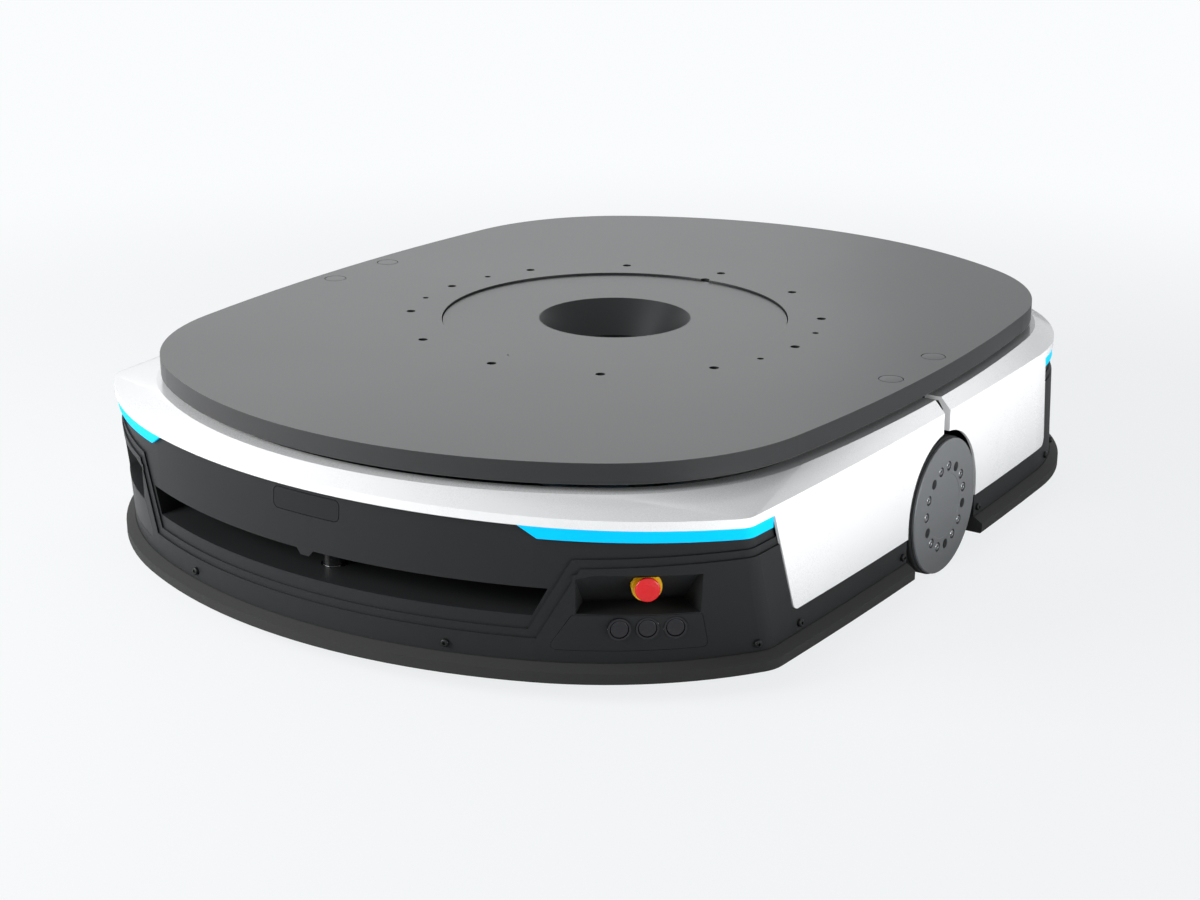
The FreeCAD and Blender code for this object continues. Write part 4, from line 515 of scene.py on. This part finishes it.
def finished(item: bpy.types.Object, sharp: float = SHARP_ANGLE) -> bpy.types.Object:
    """Weld a mesh, turn its faces outwards and smooth it but for its sharp edges.

    Args:
        item: mesh object.
        sharp: degrees between faces from which an edge stays sharp.

    Returns:
        The same object.
    """
    work = bmesh.new()
    work.from_mesh(item.data)
    bmesh.ops.remove_doubles(work, verts=work.verts, dist=WELD)
    bmesh.ops.dissolve_degenerate(work, edges=work.edges, dist=WELD)
    bmesh.ops.recalc_face_normals(work, faces=work.faces)
    limit = math.radians(sharp)
    for edge in work.edges:
        edge.smooth = len(edge.link_faces) == 2 and edge.calc_face_angle(0.0) < limit
    for face in work.faces:
        face.smooth = True
    work.to_mesh(item.data)
    work.free()
    return item


def turned_grid(radius: np.ndarray, height: np.ndarray, centre: np.ndarray, axis: np.ndarray,
                segments: int) -> tuple[np.ndarray, np.ndarray, np.ndarray]:
    """Surface of revolution: centre + r(v) (cos u, sin u) across the axis + h(v) along it.

    Args:
        radius: r over v, or r over v and u as a matrix.
        height: h over v.
        centre: point on the axis where h is zero.
        axis: direction of the axis.
        segments: steps of u round the axis.

    Returns:
        x, y and z, rows v by columns u.
    """
    turn = np.linspace(0.0, 2.0 * math.pi, segments, endpoint=False)
    spread = radius if radius.ndim == 2 else radius[:, None] * np.ones(segments)
    rise = height[:, None] * np.ones(segments)
    local = np.stack([spread * np.cos(turn), spread * np.sin(turn), rise], axis=-1)
    world = np.asarray(centre) + local @ basis(axis)
    return world[..., 0], world[..., 1], world[..., 2]


def rounded_profile(points: Profile, fillet: float,
                    steps: int = 5) -> tuple[np.ndarray, np.ndarray]:
    """Polyline whose inner corners are quadratic curves between points a fillet away.

    The curve is (1 - t)^2 before + 2 t (1 - t) corner + t^2 after, for t from 0 to 1.

    Args:
        points: pairs of radius and height, in metres.
        fillet: distance from a corner at which its curve starts, in metres.
        steps: points on each curve.

    Returns:
        Radii and heights.
    """
    path = np.array(points)
    legs = np.diff(path, axis=0)
    lengths = np.linalg.norm(legs, axis=1)
    unit = legs / lengths[:, None]
    share = 0.45  # of the shorter leg, so that two curves never meet
    reach = np.minimum(fillet, share * np.minimum(lengths[:-1], lengths[1:]))[:, None]
    corner = path[1:-1]
    before, after = corner - unit[:-1] * reach, corner + unit[1:] * reach
    t = np.linspace(0.0, 1.0, steps)[None, :, None]
    curve = ((1 - t) ** 2 * before[:, None] + 2 * t * (1 - t) * corner[:, None]
             + t ** 2 * after[:, None])
    whole = np.concatenate([path[:1], curve.reshape(-1, 2), path[-1:]])
    return whole[:, 0], whole[:, 1]


def turned_piece(name: str, points: Profile, fillet: float, centre: np.ndarray,
                 axis: np.ndarray, segments: int = 96) -> bpy.types.Object:
    """Piece turned about an axis from a rounded polyline of radius and height.

    Args:
        name: name of the piece.
        points: pairs of radius and height, in metres.
        fillet: rounding of the polyline's corners, in metres.
        centre: point on the axis where the height is zero.
        axis: direction of the axis.
        segments: steps round the axis.

    Returns:
        The piece, welded and smoothed.
    """
    radius, height = rounded_profile(points, fillet)
    grid = turned_grid(radius, height, centre, axis, segments)
    return finished(sheet_object(name, *grid, around=True))


def place_piece(item: bpy.types.Object, body: str, finish: Finish, slot: str, *nodes: str) -> None:
    """Dress a new piece, let it ride on its body, hide the CAD nodes that it replaces and log it.

    Args:
        item: the piece.
        body: CAD body that it rides on.
        finish: its finish.
        slot: not used.
        nodes: CAD nodes that it replaces.
    """
    dress(item, finish)
    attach(item, body)
    if nodes:
        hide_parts(*nodes)
    LOG.info("built %s on %s", item.name, body)


def join_pieces(items: list[bpy.types.Object], name: str) -> bpy.types.Object:
    """Join pieces into one object.

    Args:
        items: mesh objects at the origin.
        name: name of the joined object.

    Returns:
        The first object, which now holds them all.
    """
    with bpy.context.temp_override(active_object=items[0], selected_editable_objects=items):
        bpy.ops.object.join()
    items[0].name = name
    items[0].data.name = name
    return items[0]


@dataclass
class DriveWheel:
    """One drive wheel's tyre and the screws of its hub, with sizes in metres."""

    side: str
    shoulder: float = 0.003
    groove_places: tuple[float, ...] = (-0.5, 0.0, 0.5)
    groove_depth: float = 0.0022
    groove_width: float = 0.0030
    groove_foot: float = 0.6
    tread_fillet: float = 0.0006
    tread_segments: int = 160
    screw_radius: float = 0.0046
    screw_chamfer: float = 0.0005
    shank_depth: float = 0.004
    socket_radius: float = 0.0023
    socket_chamfer: float = 0.0002
    socket_depth: float = 0.0030
    screw_gap: float = 6.0
    screw_segments: int = 48

    def build(self) -> None:
        """Make the tyre and the screws."""
        sign = -1.0 if self.side == "left" else 1.0
        low, high = (np.array(corner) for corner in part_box(self.side + "_tyre"))
        centre = (low + high) / 2.0
        self.build_tyre(centre, (high[0] - low[0]) / 2.0, (high[2] - low[2]) / 2.0, sign)
        self.build_screws(centre, sign)

    def build_tyre(self, centre: np.ndarray, half: float, radius: float, sign: float) -> None:
        """Turn the tyre: rounded shoulders and three grooves round the tread.

        Args:
            centre: middle of the tyre.
            half: half of its width.
            radius: rolling radius.
            sign: 1 for the right wheel, -1 for the left.
        """
        bore = bore_radius(self.side + "_tyre", centre)
        inner = radius - self.shoulder
        tread = [(bore, -half), (inner, -half), (radius, -half + self.shoulder)]
        edge, floor = self.groove_width / 2.0, radius - self.groove_depth
        for place in self.groove_places:
            middle = place * half
            tread += [(radius, middle - edge), (floor, middle - edge * self.groove_foot),
                      (floor, middle + edge * self.groove_foot), (radius, middle + edge)]
        tread += [(radius, half - self.shoulder), (inner, half), (bore, half), (bore, -half)]
        item = turned_piece(self.side + "_tread", tread, self.tread_fillet, centre,
                            sign * X_AXIS, self.tread_segments)
        place_piece(item, self.side + "_drive_wheel", TYRE, "tyre", self.side + "_tyre")

    def screw_angles(self, offset: np.ndarray) -> np.ndarray:
        """Angles of the screws round the wheel, from the gaps between their vertices.

        Args:
            offset: vertices across the axis, measured from it.

        Returns:
            One angle for each screw, in radians.
        """
        order = np.sort(np.degrees(np.arctan2(offset[:, 1], offset[:, 0])))
        groups = np.split(order, np.flatnonzero(np.diff(order) > self.screw_gap) + 1)
        if order[0] + 360.0 - order[-1] < self.screw_gap:
            groups[0] = np.concatenate([groups[-1] - 360.0, groups[0]])
            groups = groups[:-1]
        return np.radians([(group.min() + group.max()) / 2.0 for group in groups])

    def build_screws(self, centre: np.ndarray, sign: float) -> None:
        """Socket screws where the CAD has them: a turned head whose socket is a hexagon.

        The hexagon's radius is r cos 30 / cos((u mod 60) - 30), in degrees, over the turn u.

        Args:
            centre: middle of the wheel.
            sign: 1 for the right wheel, -1 for the left.
        """
        name = self.side + "_wheel_screws"
        points = joined_points(name)
        offset = points[:, 1:] - centre[1:]
        circle = float(np.median(np.hypot(offset[:, 0], offset[:, 1])))
        face = float((points[:, 0] * sign).max()) * sign
        turn = np.linspace(0.0, 2.0 * math.pi, self.screw_segments, endpoint=False)
        side = np.cos((turn % (math.pi / 3)) - math.pi / 6)
        hexagon = self.socket_radius * math.cos(math.pi / 6) / side
        whole = np.ones_like(turn) * self.screw_radius
        rings = np.stack([whole, whole, whole - self.screw_chamfer,
                          hexagon + self.socket_chamfer, hexagon, hexagon, whole * 0.0])
        rise = np.array([-self.shank_depth, -self.screw_chamfer, 0.0, 0.0,
                         -self.socket_chamfer, -self.socket_depth, -self.socket_depth])
        x, y, z = turned_grid(rings, rise, np.zeros(3), sign * X_AXIS, len(turn))
        screws = []
        for index, middle in enumerate(self.screw_angles(offset)):
            across, up = circle * math.cos(middle), circle * math.sin(middle)
            item = sheet_object(f"{name}_{index}", x + face, y + centre[1] + across,
                                z + centre[2] + up, around=True)
            screws.append(finished(item, 30.0))
        joined = join_pieces(screws, self.side + "_hub_screws")
        place_piece(joined, self.side + "_drive_wheel", SCREW, "steel", name)


@dataclass
class PressPart:
    """A part that is pushed along its joint's axis: the stop button's head or a push button."""

    node: str
    joint: str
    body: str
    finish: Finish
    slot: str
    crown: float
    dish: bool = False
    fillet: float = 0.0016
    inset: float = 0.001
    square: float = 0.0003

    def face(self, radius: float, head: float) -> Profile:
        """Profile of the face, from the rim to the axis: crowned, or dished inside a rim.

        Args:
            radius: radius of the head.
            head: height of its underside, below zero.

        Returns:
            Pairs of radius and height.
        """
        if self.dish:
            return [(radius, -0.0012), (radius - 0.0012, 0.0), (radius - 0.0026, -0.0002),
                    (radius * 0.45, -self.crown), (0.0, -self.crown * 1.15)]
        return [(radius, head * 0.42), (radius * 0.86, -self.crown),
                (radius * 0.5, -self.crown * 0.25), (0.0, 0.0)]

    def build(self, joints: dict[str, dict]) -> None:
        """Turn the head about its joint's axis.

        Args:
            joints: the frame's joints by name.
        """
        outward = -np.array(joints[self.joint]["axis"], float)
        points = joined_points(self.node)
        along = points @ outward
        top = float(along.max())
        across = points - np.outer(along, outward)
        centre = (across.min(0) + across.max(0)) / 2.0
        centre = centre - outward * float(centre @ outward) + outward * top
        depth = np.outer((points - centre) @ outward, outward)
        radial = np.linalg.norm(points - centre - depth, axis=1)
        radius = float(radial.max())
        head = float(along[radial > 0.9 * radius].min()) - top
        neck = float(along.min()) - top
        shaft = float(radial[along < along.min() + 0.0005].max())
        profile = [(0.0, neck), (shaft, neck)]
        if shaft < radius - self.inset:
            profile += [(shaft, head - self.square), (shaft, head), (shaft + self.square, head),
                        (radius - self.inset, head)]
        profile += self.face(radius, head)
        item = turned_piece(self.node + "_cap", profile, self.fillet, centre, outward)
        place_piece(item, self.body, self.finish, self.slot, self.node)


@dataclass
class CasterRoller:
    """One caster's wheel: rounded tread on a hub with a bearing recess."""

    end: str
    side: str
    boss: float = 0.32
    boss_foot: float = 0.36
    rim_foot: float = 0.66
    rim: float = 0.72
    recess: float = 0.002
    shoulder: float = 0.004
    tread_share: float = 0.55
    fillet: float = 0.0012

    def build(self) -> None:
        """Turn the wheel about the X axis: one side's profile, the tread and the other side's."""
        name = f"{self.end}_{self.side}_caster"
        low, high = (np.array(corner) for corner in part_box(name + "_wheel"))
        centre = (low + high) / 2.0
        half, radius = (high[0] - low[0]) / 2.0, (high[2] - low[2]) / 2.0
        bore = bore_radius(name + "_wheel", centre)
        floor = half - self.recess
        flank = [(bore, half), (radius * self.boss, half), (radius * self.boss_foot, floor),
                 (radius * self.rim_foot, floor), (radius * self.rim, half),
                 (radius - self.shoulder, half), (radius, half * self.tread_share)]
        profile = [(across, -along) for across, along in flank] + flank[::-1] + [(bore, -half)]
        item = turned_piece(name + "_tread", profile, self.fillet, centre, X_AXIS)
        place_piece(item, name + "_roller", TYRE, "tyre", name + "_wheel")


@dataclass
class Scanner:
    """Laser scanner of one end: a body, a recessed band and a cap with a chamfered edge, in one
    smoked finish.
    """

    node: str
    body: str
    step: float = 0.0012
    band_from: float = 0.005  # above the shoulder
    band_to: float = 0.010  # below the top
    lead: float = 0.001
    cap_edge: float = 0.003
    fillet: float = 0.0007
    segments: int = 128

    def build(self) -> None:
        """Turn the scanner about its upright axis within the CAD's radii."""
        points = joined_points(self.node)
        low, high = points.min(0), points.max(0)
        centre = np.array([(low[0] + high[0]) / 2.0, (low[1] + high[1]) / 2.0, 0.0])
        radial = np.hypot(points[:, 0] - centre[0], points[:, 1] - centre[1])
        wide = float(radial.max())
        levels = np.unique(np.round(points[radial > 0.97 * wide][:, 2], 5))
        shoulder = float(levels.max())
        head = float(radial[points[:, 2] > shoulder + 0.001].max())
        glass, top = head - self.step, high[2]
        profile = [(0.0, low[2]), (wide, low[2]), (wide, shoulder), (head, shoulder),
                   (head, shoulder + self.band_from - self.lead),
                   (glass, shoulder + self.band_from), (glass, top - self.band_to),
                   (head, top - self.band_to + self.lead), (head, top - self.cap_edge),
                   (head - self.cap_edge, top), (0.0, top)]
        item = turned_piece(self.node + "_head", profile, self.fillet, centre, Z_AXIS,
                            self.segments)
        place_piece(item, self.body, SMOKED, "window", self.node)


@dataclass
class DeckPlugs:
    """Four round plugs in the deck, each with a fine groove round it."""

    shrink: float = 0.0006
    chamfer: float = 0.0005
    fillet: float = 0.0002
    segments: int = 64

    def build(self) -> None:
        """Turn one plug in each quadrant."""
        points = joined_points("deck_plugs")
        pieces = []
        for sign_x in (-1.0, 1.0):
            for sign_y in (-1.0, 1.0):
                mine = points[(points[:, 0] * sign_x > 0) & (points[:, 1] * sign_y > 0)]
                low, high = mine.min(0), mine.max(0)
                radius = (high[0] - low[0]) / 2.0 - self.shrink
                centre = np.array([(low[0] + high[0]) / 2.0, (low[1] + high[1]) / 2.0, 0.0])
                profile = [(0.0, low[2]), (radius, low[2]), (radius, high[2] - self.chamfer),
                           (radius - self.chamfer, high[2]), (0.0, high[2])]
                pieces.append(turned_piece(f"plug_{len(pieces)}", profile, self.fillet, centre,
                                           Z_AXIS, self.segments))
        joined = join_pieces(pieces, "deck_plug_faces")
        place_piece(joined, "deck", DECK_PAINT, "deck", "deck_plugs")


@dataclass
class CameraLens:
    """Upward camera at the foot of the funnel: housing, lens barrel and glass dome."""

    sink: float = 0.0002
    flange: float = 0.005
    barrel: float = 0.020
    barrel_edge: float = 0.001
    bezel: float = 0.0135
    glass: float = 0.012
    glass_sink: float = 0.003
    fillet: float = 0.0008

    def build(self) -> None:
        """Turn the camera about the deck's axis."""
        low, high = (np.array(corner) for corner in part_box("upward_camera"))
        wide = (high[0] - low[0]) / 2.0
        top = high[2] - self.sink
        dome = [(0.008, top - 0.0012), (0.004, top - 0.0006), (0.0, top - 0.0005)]
        profile = [(0.0, low[2]), (wide, low[2]), (wide, low[2] + self.flange),
                   (self.barrel, low[2] + self.flange), (self.barrel, top - self.barrel_edge),
                   (self.barrel - self.barrel_edge, top), (self.bezel, top),
                   (self.glass, top - self.glass_sink)] + dome
        item = turned_piece("camera_lens", profile, self.fillet, np.zeros(3), Z_AXIS)
        place_piece(item, "lift", SMOKED, "window", "upward_camera")


def build_pieces(joints: dict[str, dict]) -> None:
    """Build every new piece.

    Args:
        joints: the frame's joints by name.
    """
    for side in ("left", "right"):
        DriveWheel(side).build()
        for end in ("front", "rear"):
            CasterRoller(end, side).build()
    PressPart("estop_head", "stop_press", "stop_button", STOP_RED, "stop_red", 0.0018).build(joints)
    for place in ("left", "middle", "right"):
        PressPart(place + "_button", place + "_button_press", place + "_push_button", BUTTON_BLACK,
                  "button_black", 0.0008, True).build(joints)
    Scanner("front_scanner", "chassis").build()
    Scanner("rear_scanner", "rear_chassis").build()
    DeckPlugs().build()
    CameraLens().build()


def main() -> None:
    """Load the frame, dress its nodes, build the new pieces and light the scene."""
    logging.basicConfig(level=logging.INFO, format="%(message)s")
    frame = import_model()
    Studio().build()
    for finish, names in NODE_FINISHES.items():
        for name in names:
            dress(frame["nodes"][name], finish)
            LOG.info("dressed %s in %s", name, finish.name)
    joints = {joint["name"]: joint for joint in frame["joints"]}
    build_pieces(joints)


if __name__ == "__main__":
    main()
